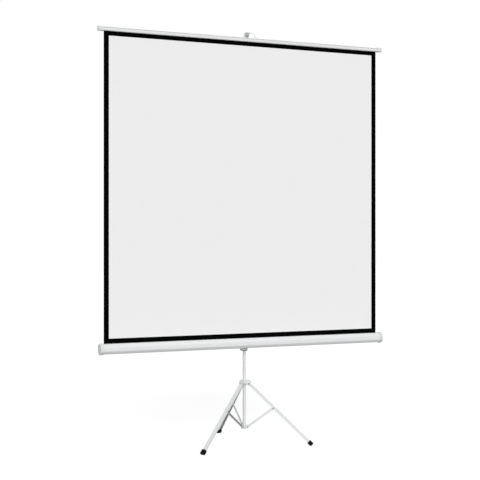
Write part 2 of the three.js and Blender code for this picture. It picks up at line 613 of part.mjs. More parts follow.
// Carriage: a block that clamps on the mast and carries the case on a pivot bolt
function makeCarriage() {
  const carriage = new THREE.Group();
  carriage.position.z = CASE_HEIGHT;
  const depth = CARRIAGE_FRONT + CARRIAGE_BACK;
  const middle = (CARRIAGE_BACK - CARRIAGE_FRONT) / 2;
  const bore = MAST_WIDTH / 2 + SEAT_GAP;
  piece(carriage, 'carriage_body', greyPlastic(), cut(
    run('z', roundedRectangle(CARRIAGE_WIDTH, depth, CARRIAGE_CORNER), -CARRIAGE_BELOW, CARRIAGE_ABOVE)
      .translate(0, middle, 0),
    block([-bore, -bore, -CARRIAGE_BELOW - CUT_OVERRUN], [bore, bore, CARRIAGE_ABOVE + CUT_OVERRUN]),
    round('y', 0, CARRIAGE_BACK + CUT_OVERRUN, STUD_RADIUS + SEAT_GAP,
      [0, -CARRIAGE_KNOB_DROP], SMALL_SIDES),
    round('y', -CARRIAGE_FRONT - CUT_OVERRUN, 0, PIVOT_RADIUS + SEAT_GAP, [0, 0], SMALL_SIDES),
  ));

  const innerWidth = CARRIAGE_WIDTH + 2 * SEAT_GAP;
  const innerDepth = depth + 2 * SEAT_GAP;
  const band = roundedRectangle(innerWidth + 2 * BAND_THICKNESS, innerDepth + 2 * BAND_THICKNESS,
    CARRIAGE_CORNER + BAND_THICKNESS);
  band.holes.push(roundedRectangle(innerWidth, innerDepth, CARRIAGE_CORNER));
  const bandBottom = BAND_RISE - CARRIAGE_BELOW;
  piece(carriage, 'carriage_band', bareSteel(), run('z', band, bandBottom, bandBottom + BAND_HEIGHT))
    .position.y = middle;

  const humpFront = CARRIAGE_FRONT + SEAT_GAP + BRACKET_WALL;
  const headBack = humpFront + SEAT_GAP;
  piece(carriage, 'pivot_bolt', bareSteel(), join(
    round('y', -headBack, -bore - SEAT_GAP, PIVOT_RADIUS, [0, 0], SMALL_SIDES),
    round('y', -headBack - PIVOT_HEAD, -headBack, PIVOT_HEAD_RADIUS),
  ));

  piece(carriage, 'carriage_knob', greyPlastic(), starKnob(CARRIAGE_BACK + SEAT_GAP, bore))
    .position.z = -CARRIAGE_KNOB_DROP;
  return carriage;
}

// Case: the eight-sided shell, its bracket, end caps, roller and spring, drawn about the case's axis
function makeCaseShell(unit) {
  const outline = octagon(CASE_ACROSS);
  outline.holes.push(octagon(CASE_ACROSS - 2 * CASE_WALL));
  const slotBack = caseForward - FABRIC_FORWARD;
  const roof = CASE_ACROSS / 2;
  const tools = [block(
    [-shellHalf - CUT_OVERRUN, slotBack - CASE_SLOT / 2, 0],
    [shellHalf + CUT_OVERRUN, slotBack + CASE_SLOT / 2, roof + CUT_OVERRUN],
  )];
  for (const side of [-1, 1]) {
    tools.push(round('y', 0, roof + CUT_OVERRUN, BRACKET_RIVET_RADIUS + SEAT_GAP,
      [side * BRACKET_RIVET_X, 0], SMALL_SIDES));
    tools.push(round('z', -roof - CUT_OVERRUN, 0, CAP_SCREW_RADIUS + SEAT_GAP,
      [side * (capInner - CAP_SCREW_HEAD_RADIUS * 2), 0], SMALL_SIDES));
  }
  piece(unit, 'case_shell', whitePaint(), cut(run('x', outline, -shellHalf, shellHalf), ...tools));
}

function makeCaseBracket(unit) {
  const tall = BRACKET_HEIGHT / 2;
  const footFront = CASE_ACROSS / 2 + SEAT_GAP;
  const footBack = footFront + BRACKET_WALL;
  const humpBack = caseForward - CARRIAGE_FRONT - SEAT_GAP;
  const humpFront = humpBack - BRACKET_WALL;
  const parts = [];
  for (const side of [-1, 1]) {
    const [inner, outer] = [BRACKET_HUMP * side, BRACKET_HALF_WIDTH * side].sort((a, b) => a - b);
    parts.push(block([inner, footFront, -tall], [outer, footBack, tall]));
    const web = BRACKET_HUMP * side;
    parts.push(block([web - BRACKET_WALL / 2, footFront, -tall], [web + BRACKET_WALL / 2, humpBack, tall]));
  }
  const edge = BRACKET_HUMP + BRACKET_WALL / 2;
  const holes = [round('y', 0, caseForward, PIVOT_RADIUS + SEAT_GAP, [0, 0], SMALL_SIDES)];
  for (const side of [-1, 1]) {
    holes.push(round('y', 0, caseForward, BRACKET_RIVET_RADIUS + SEAT_GAP,
      [side * BRACKET_RIVET_X, 0], SMALL_SIDES));
  }
  piece(unit, 'case_bracket', bareSteel(), cut(
    join(block([-edge, humpFront, -tall], [edge, humpBack, tall]), ...parts),
    ...holes,
  ));

  for (const [side, word] of [[-1, 'left'], [1, 'right']]) {
    piece(unit, `bracket_rivet_${word}`, bareSteel(), pinAlongY(
      CASE_ACROSS / 2 - CASE_WALL - BRACKET_RIVET_TAIL, footBack + SEAT_GAP, BRACKET_RIVET_RADIUS,
      BRACKET_RIVET_HEAD_RADIUS, BRACKET_RIVET_HEAD, ['to'],
    )).position.x = side * BRACKET_RIVET_X;
  }
}

// An end cap is drawn for the right end, its closed end towards +X
function endCap() {
  const mouth = caseHalf - CAP_LENGTH;
  const hollow = run('x', octagon(CASE_ACROSS + 2 * SEAT_GAP), mouth - CUT_OVERRUN, capInner);
  const shell = cut(run('x', octagon(CAP_ACROSS), mouth, caseHalf, 1, CAP_EDGE), hollow);
  const screwX = capInner - CAP_SCREW_HEAD_RADIUS * 2;
  return cut(
    join(shell, round('x', capInner - CAP_BOSS_LENGTH, capInner + SEAT_GAP, CAP_BOSS_RADIUS)),
    round('x', capInner - CAP_BOSS_LENGTH - CUT_OVERRUN, capInner - SEAT_GAP, AXLE_RADIUS + SEAT_GAP),
    round('z', -CAP_ACROSS, 0, CAP_SCREW_RADIUS + SEAT_GAP, [screwX, 0], SMALL_SIDES),
  );
}

function makeEndCaps(unit) {
  const screwX = capInner - CAP_SCREW_HEAD_RADIUS * 2;
  const seat = -CAP_ACROSS / 2 - SEAT_GAP;
  for (const [turn, word] of [[Math.PI, 'left'], [0, 'right']]) {
    const end = new THREE.Group();
    end.rotation.z = turn;
    piece(end, `end_cap_${word}`, whitePlastic(), endCap());
    piece(end, `cap_screw_${word}`, bareSteel(), join(
      round('z', seat, -CASE_ACROSS / 2 + CASE_WALL, CAP_SCREW_RADIUS, [screwX, 0], SMALL_SIDES),
      round('z', seat - CAP_SCREW_HEAD, seat, CAP_SCREW_HEAD_RADIUS, [screwX, 0], SMALL_SIDES),
    ));
    unit.add(end);
  }
}

function makeRoller(unit) {
  const half = rollerHalf;
  const bore = ROLLER_RADIUS - ROLLER_WALL;
  const axleEnd = capInner - 2 * SEAT_GAP;
  const tube = cut(round('x', -half, half, ROLLER_RADIUS),
    round('x', -half - CUT_OVERRUN, half + CUT_OVERRUN, bore));
  piece(unit, 'roller_tube', bareSteel(), tube);

  const plugRadius = bore - SEAT_GAP;
  const flangeEnd = half + SEAT_GAP + ROLLER_FLANGE;
  const plug = join(
    round('x', half - ROLLER_PLUG_LENGTH, half + SEAT_GAP, plugRadius),
    round('x', half + SEAT_GAP, flangeEnd, ROLLER_RADIUS),
  );
  piece(unit, 'roller_plug_left', greyPlastic(), join(plug, round('x', half, axleEnd, AXLE_RADIUS)))
    .rotation.z = Math.PI;
  piece(unit, 'roller_plug_right', greyPlastic(), cut(plug,
    round('x', half - ROLLER_PLUG_LENGTH - CUT_OVERRUN, flangeEnd + CUT_OVERRUN, AXLE_RADIUS + SEAT_GAP)));

  // The spring winds between the fixed shaft and the turning tube
  const springEnd = half - ROLLER_PLUG_LENGTH - SEAT_GAP;
  const springStart = springEnd - SPRING_LENGTH;
  piece(unit, 'spring_shaft', bareSteel(),
    round('x', springStart - SPRING_SHAFT_TAIL, axleEnd, AXLE_RADIUS, [0, 0], SMALL_SIDES));
  piece(unit, 'roller_spring', bareSteel(), cut(
    round('x', springStart, springEnd, SPRING_RADIUS),
    round('x', springStart - CUT_OVERRUN, springEnd + CUT_OVERRUN, SPRING_RADIUS - SPRING_WALL),
  ));

  const side = SCREEN_SIDE / 2;
  const hollow = wrapsRadius - WRAPS_THICKNESS;
  piece(unit, 'fabric_wraps', fabricWhite(), cut(
    round('x', -side, side, wrapsRadius, [0, 0], 2 * ROUND_SIDES),
    round('x', -side - CUT_OVERRUN, side + CUT_OVERRUN, hollow, [0, 0], 2 * ROUND_SIDES),
  ));
}

function makeCase() {
  const unit = new THREE.Group();
  unit.position.set(0, -caseForward, CASE_HEIGHT);
  makeCaseShell(unit);
  makeCaseBracket(unit);
  makeEndCaps(unit);
  makeRoller(unit);
  return unit;
}

// Screen: the fabric with its printed border, the top bar and its caps
function makeScreen() {
  const screen = new THREE.Group();
  screen.position.y = -FABRIC_FORWARD;
  const [side, half] = [SCREEN_SIDE / 2, FABRIC_THICKNESS / 2];
  piece(screen, 'screen_fabric', fabricWhite(),
    block([-side, -half, CASE_HEIGHT], [side, half, barBottom + BAR_WALL]));

  const frame = block([-side, 0, screenBottom], [side, BORDER_THICKNESS, barBottom]);
  const picture = block(
    [-side + BORDER_WIDTH, -CUT_OVERRUN, screenBottom + BORDER_WIDTH],
    [side - BORDER_WIDTH, BORDER_THICKNESS + CUT_OVERRUN, barBottom - BORDER_HEADER],
  );
  piece(screen, 'black_border', borderBlack(), cut(frame, picture))
    .position.y = -half - SEAT_GAP - BORDER_THICKNESS;
  return screen;
}

function makeTopBar() {
  const bar = new THREE.Group();
  bar.position.set(0, -barForward, barBottom + BAR_HEIGHT / 2);
  const half = barHalf - BAR_CAP_WALL - SEAT_GAP;
  const outline = roundedRectangle(BAR_DEPTH, BAR_HEIGHT, BAR_CORNER);
  const [innerDepth, innerHeight] = [BAR_DEPTH - 2 * BAR_WALL, BAR_HEIGHT - 2 * BAR_WALL];
  outline.holes.push(roundedRectangle(innerDepth, innerHeight, BAR_CORNER - BAR_WALL));
  const slotBack = barForward - FABRIC_FORWARD;
  piece(bar, 'top_bar', whitePaint(), cut(
    run('x', outline, -half, half, CORNER_STEPS + 1),
    block(
      [-half - CUT_OVERRUN, slotBack - BAR_SLOT / 2, -BAR_HEIGHT],
      [half + CUT_OVERRUN, slotBack + BAR_SLOT / 2, 0],
    ),
  ));

  const rodHeight = -BAR_HEIGHT / 2 + BAR_WALL + SEAT_GAP + HEM_ROD_RADIUS;
  const side = SCREEN_SIDE / 2;
  piece(bar, 'hem_rod', whitePlastic(),
    round('x', -side, side, HEM_ROD_RADIUS, [slotBack, rodHeight], SMALL_SIDES));

  const capDepth = BAR_DEPTH + 2 * (SEAT_GAP + BAR_CAP_WALL);
  const capHeight = BAR_HEIGHT + 2 * (SEAT_GAP + BAR_CAP_WALL);
  const capOutline = roundedRectangle(capDepth, capHeight, BAR_CORNER + BAR_CAP_WALL);
  const pocket = roundedRectangle(BAR_DEPTH + 2 * SEAT_GAP, BAR_HEIGHT + 2 * SEAT_GAP, BAR_CORNER);
  const mouth = barHalf - BAR_CAP_LENGTH;
  for (const [sign, word] of [[-1, 'left'], [1, 'right']]) {
    const cap = cut(
      run('x', capOutline, mouth, barHalf, CORNER_STEPS + 1, CAP_EDGE),
      run('x', pocket, mouth - CUT_OVERRUN, barHalf - BAR_CAP_WALL, CORNER_STEPS + 1),
    );
    if (sign < 0) cap.rotateZ(Math.PI);
    piece(bar, `bar_cap_${word}`, whitePlastic(), cap);
  }

  // Clips for the bail, on the bar's roof
  const roof = BAR_HEIGHT / 2 + SEAT_GAP;
  const pivotBack = barForward - bailPivotForward;
  for (const [sign, word] of [[-1, 'left'], [1, 'right']]) {
    const x = BAIL_OFFSET + sign * (BAIL_HALF_WIDTH + CLIP_WIDTH / 2 + BAIL_WIRE + SEAT_GAP);
    const [halfWidth, halfDepth] = [CLIP_WIDTH / 2, CLIP_DEPTH / 2];
    const low = [x - halfWidth, pivotBack - halfDepth, roof];
    const high = [x + halfWidth, pivotBack + halfDepth, roof + CLIP_HEIGHT];
    piece(bar, `bail_clip_${word}`, whitePaint(), cut(
      block(low, high),
      round('x', x - CLIP_WIDTH, x + CLIP_WIDTH, BAIL_WIRE + SEAT_GAP, [pivotBack, roof + CLIP_HEIGHT / 2]),
    ));
  }
  return bar;
}

// The bail's wire as one arch from clip to clip, upright above its pivot
function bailArch() {
  const [side, top] = [BAIL_HALF_WIDTH - BAIL_CORNER, BAIL_HEIGHT - BAIL_CORNER];
  const points = [new THREE.Vector3(-BAIL_HALF_WIDTH, 0, 0)];
  for (const [sign, firstAngle] of [[-1, Math.PI], [1, Math.PI / 2]]) {
    for (let i = 0; i <= BAIL_CORNER_POINTS; i += 1) {
      const angle = firstAngle - (i * Math.PI) / 2 / BAIL_CORNER_POINTS;
      const x = sign * side + BAIL_CORNER * Math.cos(angle);
      points.push(new THREE.Vector3(x, 0, top + BAIL_CORNER * Math.sin(angle)));
    }
  }
  points.push(new THREE.Vector3(BAIL_HALF_WIDTH, 0, 0));
  const section = new THREE.Shape();
  section.absarc(0, 0, BAIL_WIRE, 0, 2 * Math.PI);
  return new THREE.ExtrudeGeometry(section, {
    steps: BAIL_STEPS,
    curveSegments: SMALL_SIDES / 2,
    bevelEnabled: false,
    extrudePath: new THREE.CatmullRomCurve3(points, false, 'centripetal'),
  });
}

function makeBail() {
  const bail = new THREE.Group();
  bail.position.set(BAIL_OFFSET, -bailPivotForward, bailPivotHeight);
  bail.rotation.x = -bailLean;
  const foot = BAIL_HALF_WIDTH + BAIL_WIRE + BAIL_FOOT;
  piece(bail, 'pull_bail', bareSteel(), join(
    bailArch(),
    round('x', -foot, -BAIL_HALF_WIDTH + BAIL_WIRE, BAIL_WIRE, [0, 0], SMALL_SIDES),
    round('x', BAIL_HALF_WIDTH - BAIL_WIRE, foot, BAIL_WIRE, [0, 0], SMALL_SIDES),
  ));
  return bail;
}

// Extension rod with its guide in the mast and the hook that holds the bail
function makeRod() {
  const rod = new THREE.Group();
  piece(rod, 'extension_rod', bareSteel(), squareTube(ROD_WIDTH, ROD_WALL, MAST_CORNER, rodBottom, rodTop));

  const guideTop = rodBottom - SEAT_GAP;
  const guideBottom = guideTop - GUIDE_LENGTH;
  const spigot = ROD_WIDTH - 2 * (ROD_WALL + SEAT_GAP);
  piece(rod, 'rod_guide', greyPlastic(), join(
    squareBar(mastBore - 2 * SEAT_GAP, MAST_CORNER, guideBottom, guideTop),
    squareBar(spigot, MAST_CORNER, guideBottom, rodBottom + PLUG_SPIGOT),
  ));

  const capTop = rodTop + SEAT_GAP + HOOK_CAP_ROOF;
  const capBottom = capTop - HOOK_CAP_LENGTH;
  const hookTop = wireHeight + HOOK_RISE;
  const floorTop = wireHeight - BAIL_WIRE - WIRE_GAP;
  const slotFront = hookTipForward - HOOK_TIP;
  const slotBack = slotFront - HOOK_SLOT;
  const [left, right] = [HOOK_OFFSET - HOOK_WIDTH / 2, HOOK_OFFSET + HOOK_WIDTH / 2];
  const rodHole = ROD_WIDTH / 2 + SEAT_GAP;
  const hookOutline = new THREE.Shape();
  const neck = HOOK_CAP_WIDTH / 2;
  hookOutline.moveTo(neck, capTop - CUT_OVERRUN);
  hookOutline.lineTo(neck, capTop + neck);
  hookOutline.lineTo(-slotBack + neck / 2, hookTop);
  hookOutline.lineTo(-slotBack, hookTop);
  hookOutline.lineTo(-slotBack, floorTop + HOOK_BEND);
  hookOutline.absarc(-slotBack - HOOK_BEND, floorTop + HOOK_BEND, HOOK_BEND, 0, -Math.PI / 2, true);
  hookOutline.lineTo(-slotFront, floorTop);
  hookOutline.lineTo(-slotFront, lipTop(slotFront));
  hookOutline.lineTo(-hookTipForward, lipTop(hookTipForward));
  hookOutline.lineTo(-hookTipForward, floorTop);
  hookOutline.lineTo(-hookTipForward + HOOK_TIP, floorTop - HOOK_FLOOR);
  hookOutline.lineTo(-neck, capTop - CUT_OVERRUN);
  piece(rod, 'hook_head', bareSteel(), cut(
    join(
      squareBar(HOOK_CAP_WIDTH, MAST_CORNER, capBottom, capTop),
      run('x', hookOutline, left, right, CORNER_STEPS + 1),
    ),
    block([-rodHole, -rodHole, capBottom - CUT_OVERRUN], [rodHole, rodHole, rodTop + SEAT_GAP]),
  ));
  return rod;
}

// The whole screen stands on the floor, with the middle of its outer box over the origin
const assembly = new THREE.Group();
assembly.add(makeMast(), makeBraceCollar(), makeHub(), ...LEGS.map(makeLeg), makeCarriage(), makeCase());
assembly.add(makeScreen(), makeTopBar(), makeBail(), makeRod());
assembly.updateMatrixWorld(true);
const outerBox = new THREE.Box3().setFromObject(assembly, true);
assembly.position.y = -(outerBox.min.y + outerBox.max.y) / 2;

const tripodScreen = new THREE.Group();
tripodScreen.add(assembly);
export default tripodScreen;
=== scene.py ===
# %% [markdown]
# # Dressing a tripod projector screen
#
# A pull-up projector screen is a long sheet-metal case on a folding stand. Its construction comes
# from a imported model: every piece is there at its real size. The work here is the looks: rounded
# edges, pressed and moulded shapes, fabric, and finishes that hold up from every side. Each step
# below says what the real piece is, how it could be made, and why it is made so.

# %% Load the imported model
import json
import math

import bmesh
import bpy
from mathutils import Matrix, Vector

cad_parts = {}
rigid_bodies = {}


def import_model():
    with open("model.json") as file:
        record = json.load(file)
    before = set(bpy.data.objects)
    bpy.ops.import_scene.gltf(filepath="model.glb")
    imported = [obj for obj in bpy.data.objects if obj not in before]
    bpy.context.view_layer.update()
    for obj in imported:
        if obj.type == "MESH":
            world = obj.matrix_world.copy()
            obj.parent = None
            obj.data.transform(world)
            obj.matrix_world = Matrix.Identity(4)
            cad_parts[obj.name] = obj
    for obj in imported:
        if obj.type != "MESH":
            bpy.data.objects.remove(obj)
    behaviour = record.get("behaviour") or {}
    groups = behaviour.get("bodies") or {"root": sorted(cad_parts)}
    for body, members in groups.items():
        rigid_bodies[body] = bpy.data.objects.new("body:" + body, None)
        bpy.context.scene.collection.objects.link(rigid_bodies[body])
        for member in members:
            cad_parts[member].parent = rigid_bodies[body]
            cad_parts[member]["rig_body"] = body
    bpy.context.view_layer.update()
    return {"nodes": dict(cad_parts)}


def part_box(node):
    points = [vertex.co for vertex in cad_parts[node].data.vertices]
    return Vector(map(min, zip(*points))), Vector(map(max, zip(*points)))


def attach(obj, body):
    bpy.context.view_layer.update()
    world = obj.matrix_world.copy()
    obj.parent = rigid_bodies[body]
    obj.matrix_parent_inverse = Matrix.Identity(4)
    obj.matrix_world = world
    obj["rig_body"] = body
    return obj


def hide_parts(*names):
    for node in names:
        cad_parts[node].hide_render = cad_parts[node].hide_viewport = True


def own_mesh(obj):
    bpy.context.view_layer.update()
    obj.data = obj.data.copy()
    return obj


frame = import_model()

MM = 0.001
QUARTER_TURN = math.pi / 2

# %% [markdown]
# ## The camera
#
# The photograph was taken with a long lens from the screen's left, level with the middle of the
# whole stand. Its vanishing points give the focal length and the turn, and the screen's size gives
# the distance. The horizon sits a few pixels above the picture's middle, which is a small shift.

# %% Place the camera
PHOTO_PIXELS = 480
FOCAL_PIXELS = 1082
HORIZON_ABOVE_MIDDLE_PIXELS = 4.7
SENSOR_WIDTH_MM = 36
CAMERA_LEFT = 2.662
CAMERA_FORWARD = 6.047
CAMERA_HEIGHT = 1.275
CAMERA_TURN = math.radians(23.53)

mast_low, mast_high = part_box("mast_tube")
MAST_Y = (mast_low.y + mast_high.y) / 2

camera_data = bpy.data.cameras.new("camera")
camera_data.sensor_width = SENSOR_WIDTH_MM
camera_data.lens = SENSOR_WIDTH_MM * FOCAL_PIXELS / PHOTO_PIXELS
camera_data.shift_y = -HORIZON_ABOVE_MIDDLE_PIXELS / PHOTO_PIXELS
camera = bpy.data.objects.new("camera", camera_data)
camera.location = (-CAMERA_LEFT, MAST_Y - CAMERA_FORWARD, CAMERA_HEIGHT)
camera.rotation_euler = (QUARTER_TURN, 0, -CAMERA_TURN)
bpy.context.scene.collection.objects.link(camera)
bpy.context.scene.camera = camera
bpy.context.scene.view_settings.view_transform = "Standard"
print("lens", round(camera_data.lens, 2), "mm")

# %% [markdown]
# ## Small helpers for shader nodes
#
# A material is a graph. Placing nodes by hand takes a line for each node and each wire, so one
# helper makes a node with its values, and wires whatever socket is given in place of a number. The
# others are short names for what every graph here needs.


# %% Node helpers
def add_node(tree, kind, settings=None, **values):
    """Adds a node with its own properties, the settings, and its input sockets, wired or set.

    A socket goes by its name, or by an i and its number.
    """
    node = tree.nodes.new(kind)
    for name, value in (settings or {}).items():
        setattr(node, name, value)
    for name, value in values.items():
        key = int(name[1:]) if name[1:].isdigit() else name.replace("_", " ")
        socket = node.inputs[key]
        if isinstance(value, bpy.types.NodeSocket):
            tree.links.new(value, socket)
        else:
            socket.default_value = value
    return node


def maths(tree, operation, first, second=0.0, clamp=False):
    """One arithmetic node, by the name of its operation."""
    settings = {"operation": operation, "use_clamp": clamp}
    return add_node(tree, "ShaderNodeMath", settings, i0=first, i1=second).outputs[0]


def mixed(tree, amount, first, second):
    """A blend of two colours."""
    blend = add_node(tree, "ShaderNodeMix", {"data_type": "RGBA"}, Factor=amount, i6=first, i7=second)
    return blend.outputs[2]


# %% [markdown]
# ## Effects that several finishes share
#
# Powder coat, moulded plastic, rubber and plated steel all have a fine grain, and all look slightly
# uneven over a large surface. That is one effect with different sizes. It is built once as a node
# group with its sizes as inputs, and it puts out plain values only, so every material stays free to
# use them for colour, roughness or bump.


# %% Grain and cloudiness
def shader_group(name, inputs, outputs):
    """Starts a node group with these inputs, and with numbers as its outputs. Returns its ends."""
    tree = bpy.data.node_groups.new(name, "ShaderNodeTree")
    for label, value in inputs.items():
        kind = "NodeSocketVector" if isinstance(value, tuple) else "NodeSocketFloat"
        socket = tree.interface.new_socket(label, in_out="INPUT", socket_type=kind)
        socket.default_value = value
    for label in outputs:
        tree.interface.new_socket(label, in_out="OUTPUT", socket_type="NodeSocketFloat")
    return tree, tree.nodes.new("NodeGroupInput"), tree.nodes.new("NodeGroupOutput")


def object_place(tree, stretch):
    """The piece's own coordinates, as they are and stretched."""
    place = add_node(tree, "ShaderNodeTexCoord").outputs["Object"]
    stretched = add_node(tree, "ShaderNodeVectorMath", {"operation": "MULTIPLY"}, i0=place, i1=stretch)
    return place, stretched.outputs[0]


def build_grain_group():
    """Fine noise for the relief, and broad noise for the clouds."""
    tree, start, end = shader_group(
        "surface_grain",
        {"Grain Scale": 800.0, "Cloud Scale": 3.0, "Stretch": (1.0, 1.0, 1.0)},
        ["Height", "Clouds"],
    )
    place, stretched = object_place(tree, start.outputs["Stretch"])
    fine = add_node(tree, "ShaderNodeTexNoise", Vector=stretched,
                    Scale=start.outputs["Grain Scale"], Detail=2.0, Roughness=0.6)
    broad = add_node(tree, "ShaderNodeTexNoise", Vector=place,
                     Scale=start.outputs["Cloud Scale"], Detail=3.0, Roughness=0.55)
    tree.links.new(fine.outputs[0], end.inputs["Height"])
    tree.links.new(broad.outputs[0], end.inputs["Clouds"])
    return tree


SURFACE_GRAIN = build_grain_group()
print(SURFACE_GRAIN.name, "nodes:", len(SURFACE_GRAIN.nodes))

# %% [markdown]
# ## Handling marks
#
# A stand that is folded and carried gets faint rubbed streaks, most of them low down, near the
# floor. Long thin noise that is cut off near its peaks makes streaks, and the height above the floor
# decides how strongly they show.

# %% Rubbed streaks
STREAK_FROM = 0.6
STREAK_FULL = 0.72
STRENGTH_UP_HIGH = 0.15


def build_marks_group():
    """A mask of streaks that fade out upwards."""
    tree, start, end = shader_group(
        "handling_marks",
        {"Streak Scale": 30.0, "Stretch": (6.0, 6.0, 1.0), "Fade Height": 0.5},
        ["Mask"],
    )
    place, stretched = object_place(tree, start.outputs["Stretch"])
    streaks = add_node(tree, "ShaderNodeTexNoise", Vector=stretched,
                       Scale=start.outputs["Streak Scale"], Detail=4.0, Roughness=0.7)
    peaks = add_node(tree, "ShaderNodeMapRange", Value=streaks.outputs[0],
                     From_Min=STREAK_FROM, From_Max=STREAK_FULL)
    height = add_node(tree, "ShaderNodeSeparateXYZ", Vector=place)
    low = add_node(tree, "ShaderNodeMapRange", Value=height.outputs["Z"], From_Min=0.0,
                   From_Max=start.outputs["Fade Height"], To_Min=1.0, To_Max=STRENGTH_UP_HIGH)
    mask = maths(tree, "MULTIPLY", peaks.outputs[0], low.outputs[0], clamp=True)
    tree.links.new(mask, end.inputs["Mask"])
    return tree


HANDLING_MARKS = build_marks_group()
print(HANDLING_MARKS.name, "nodes:", len(HANDLING_MARKS.nodes))

# %% [markdown]
# ## The hard finishes
#
# Off-white powder coat covers the sheet metal, and the mouldings are off-white or grey. The boots are
# black rubber, the fasteners plated or dark steel, and the hook and the carriage's band dull zinc.
# The insides of the legs and braces are painted a darker grey, which is painted shade for the shadow
# in the channels, and the leg pins are a plain grey in the same material. All share one recipe: a
# colour that drifts a little, a roughness that drifts more, and a bump from the grain. What is the
# same all over a surface is set on the shader's own socket.

# %% One recipe for the hard finishes
CLOUD_SCALE = 4.0
CLOUD_LOW = 0.3
CLOUD_HIGH = 0.7
GRAIN_RELIEF = 0.4 * MM
RUBBED_ROUGHER = 0.25


def new_material(name):
    """A new material, with its graph and its shader."""
    material = bpy.data.materials.new(name)
    material.use_nodes = True
    print("material:", name)
    return material, material.node_tree, material.node_tree.nodes["Principled BSDF"]


def wire_shader(tree, shader, colour, roughness, relief):
    """Wires what varies over the surface to the shader."""
    tree.links.new(colour, shader.inputs["Base Color"])
    tree.links.new(roughness, shader.inputs["Roughness"])
    tree.links.new(relief.outputs[0], shader.inputs["Normal"])


def hard_finish(name, dark, light, rough, grain_scale, bump, stretch=(1.0, 1.0, 1.0),
                marks=0.0, mark_colour=(0.45, 0.45, 0.44, 1.0), metallic=0.0, specular=0.5):
    """A finish between two colours and two roughnesses, with grain and perhaps rubbed marks."""
    material, tree, shader = new_material(name)
    grain = add_node(tree, "ShaderNodeGroup", {"node_tree": SURFACE_GRAIN},
                     Grain_Scale=grain_scale, Cloud_Scale=CLOUD_SCALE, Stretch=stretch)
    surface = mixed(tree, grain.outputs["Clouds"], (*dark, 1.0), (*light, 1.0))
    drift = add_node(tree, "ShaderNodeMapRange", Value=grain.outputs["Clouds"],
                     From_Min=CLOUD_LOW, From_Max=CLOUD_HIGH, To_Min=rough[0], To_Max=rough[1])
    roughness = drift.outputs[0]
    if marks:
        worn = add_node(tree, "ShaderNodeGroup", {"node_tree": HANDLING_MARKS})
        amount = maths(tree, "MULTIPLY", worn.outputs["Mask"], marks)
        surface = mixed(tree, amount, surface, mark_colour)
        rougher = maths(tree, "MULTIPLY", amount, RUBBED_ROUGHER)
        roughness = maths(tree, "ADD", roughness, rougher, clamp=True)
    relief = add_node(tree, "ShaderNodeBump", Strength=bump, Distance=GRAIN_RELIEF,
                      Height=grain.outputs["Height"])
    wire_shader(tree, shader, surface, roughness, relief)
    shader.inputs["Metallic"].default_value = metallic
    shader.inputs["Specular IOR Level"].default_value = specular
    return material


# %% Coat, mouldings, rubber and metals
POWDER_COAT = hard_finish("powder_coat", (0.74, 0.745, 0.75), (0.79, 0.795, 0.80),
                          (0.36, 0.5), 420.0, 0.18, marks=0.35)
MOULDED_WHITE = hard_finish("moulded_white", (0.68, 0.685, 0.69), (0.73, 0.735, 0.74),
                            (0.45, 0.58), 900.0, 0.15, marks=0.2)
MOULDED_GREY = hard_finish("moulded_grey", (0.28, 0.282, 0.286), (0.33, 0.332, 0.337),
                           (0.42, 0.58), 900.0, 0.25, marks=0.4, mark_colour=(0.3, 0.3, 0.3, 1.0))
RUBBER = hard_finish("rubber", (0.003, 0.003, 0.003), (0.008, 0.008, 0.008),
                     (0.62, 0.8), 700.0, 0.35, marks=0.15, mark_colour=(0.05, 0.048, 0.045, 1.0),
                     specular=0.08)
PLATED_STEEL = hard_finish("plated_steel", (0.5, 0.505, 0.51), (0.62, 0.62, 0.615),
                           (0.26, 0.42), 260.0, 0.12, stretch=(6.0, 6.0, 0.4), metallic=1.0)
DULL_ZINC = hard_finish("dull_zinc", (0.54, 0.545, 0.55), (0.62, 0.625, 0.63),
                        (0.4, 0.55), 600.0, 0.2, metallic=0.35)
# Painted shade for the insides of the channels, and the plain grey of the leg pins.
PAINTED_SHADE_AND_PIN_GREY = hard_finish("painted_shade_and_pin_grey", (0.3, 0.302, 0.305), (0.37, 0.372, 0.375),
                        (0.5, 0.65), 420.0, 0.25, marks=0.35, specular=0.3)
DARK_STEEL = hard_finish("dark_steel", (0.12, 0.12, 0.122), (0.19, 0.19, 0.19),
                         (0.3, 0.45), 500.0, 0.12, metallic=1.0)

# %% [markdown]
# ## The picture fabric
#
# A matte screen is a woven glass cloth with a white coating: bright, dull and almost without a
# highlight. Its border is printed dead black, and its back is dark. The weave is far finer than a
# pixel of the photograph, but it shows as a faint texture when someone steps close. The fabric moves
# with the bar, so its weave reads the cloth's own UV map, which is laid out in metres.

# %% Coated cloth
THREAD = 1.1 * MM
WAVE_BANDS = math.pi  # about as many as the wave texture draws to a metre at a scale of 1
WAVE_WOBBLE = 0.4
SLUB_SCALE = 6.0
WEAVE_BUMP = 0.12
WEAVE_RELIEF = 0.2 * MM
CLOTH_DRIFT = 0.06


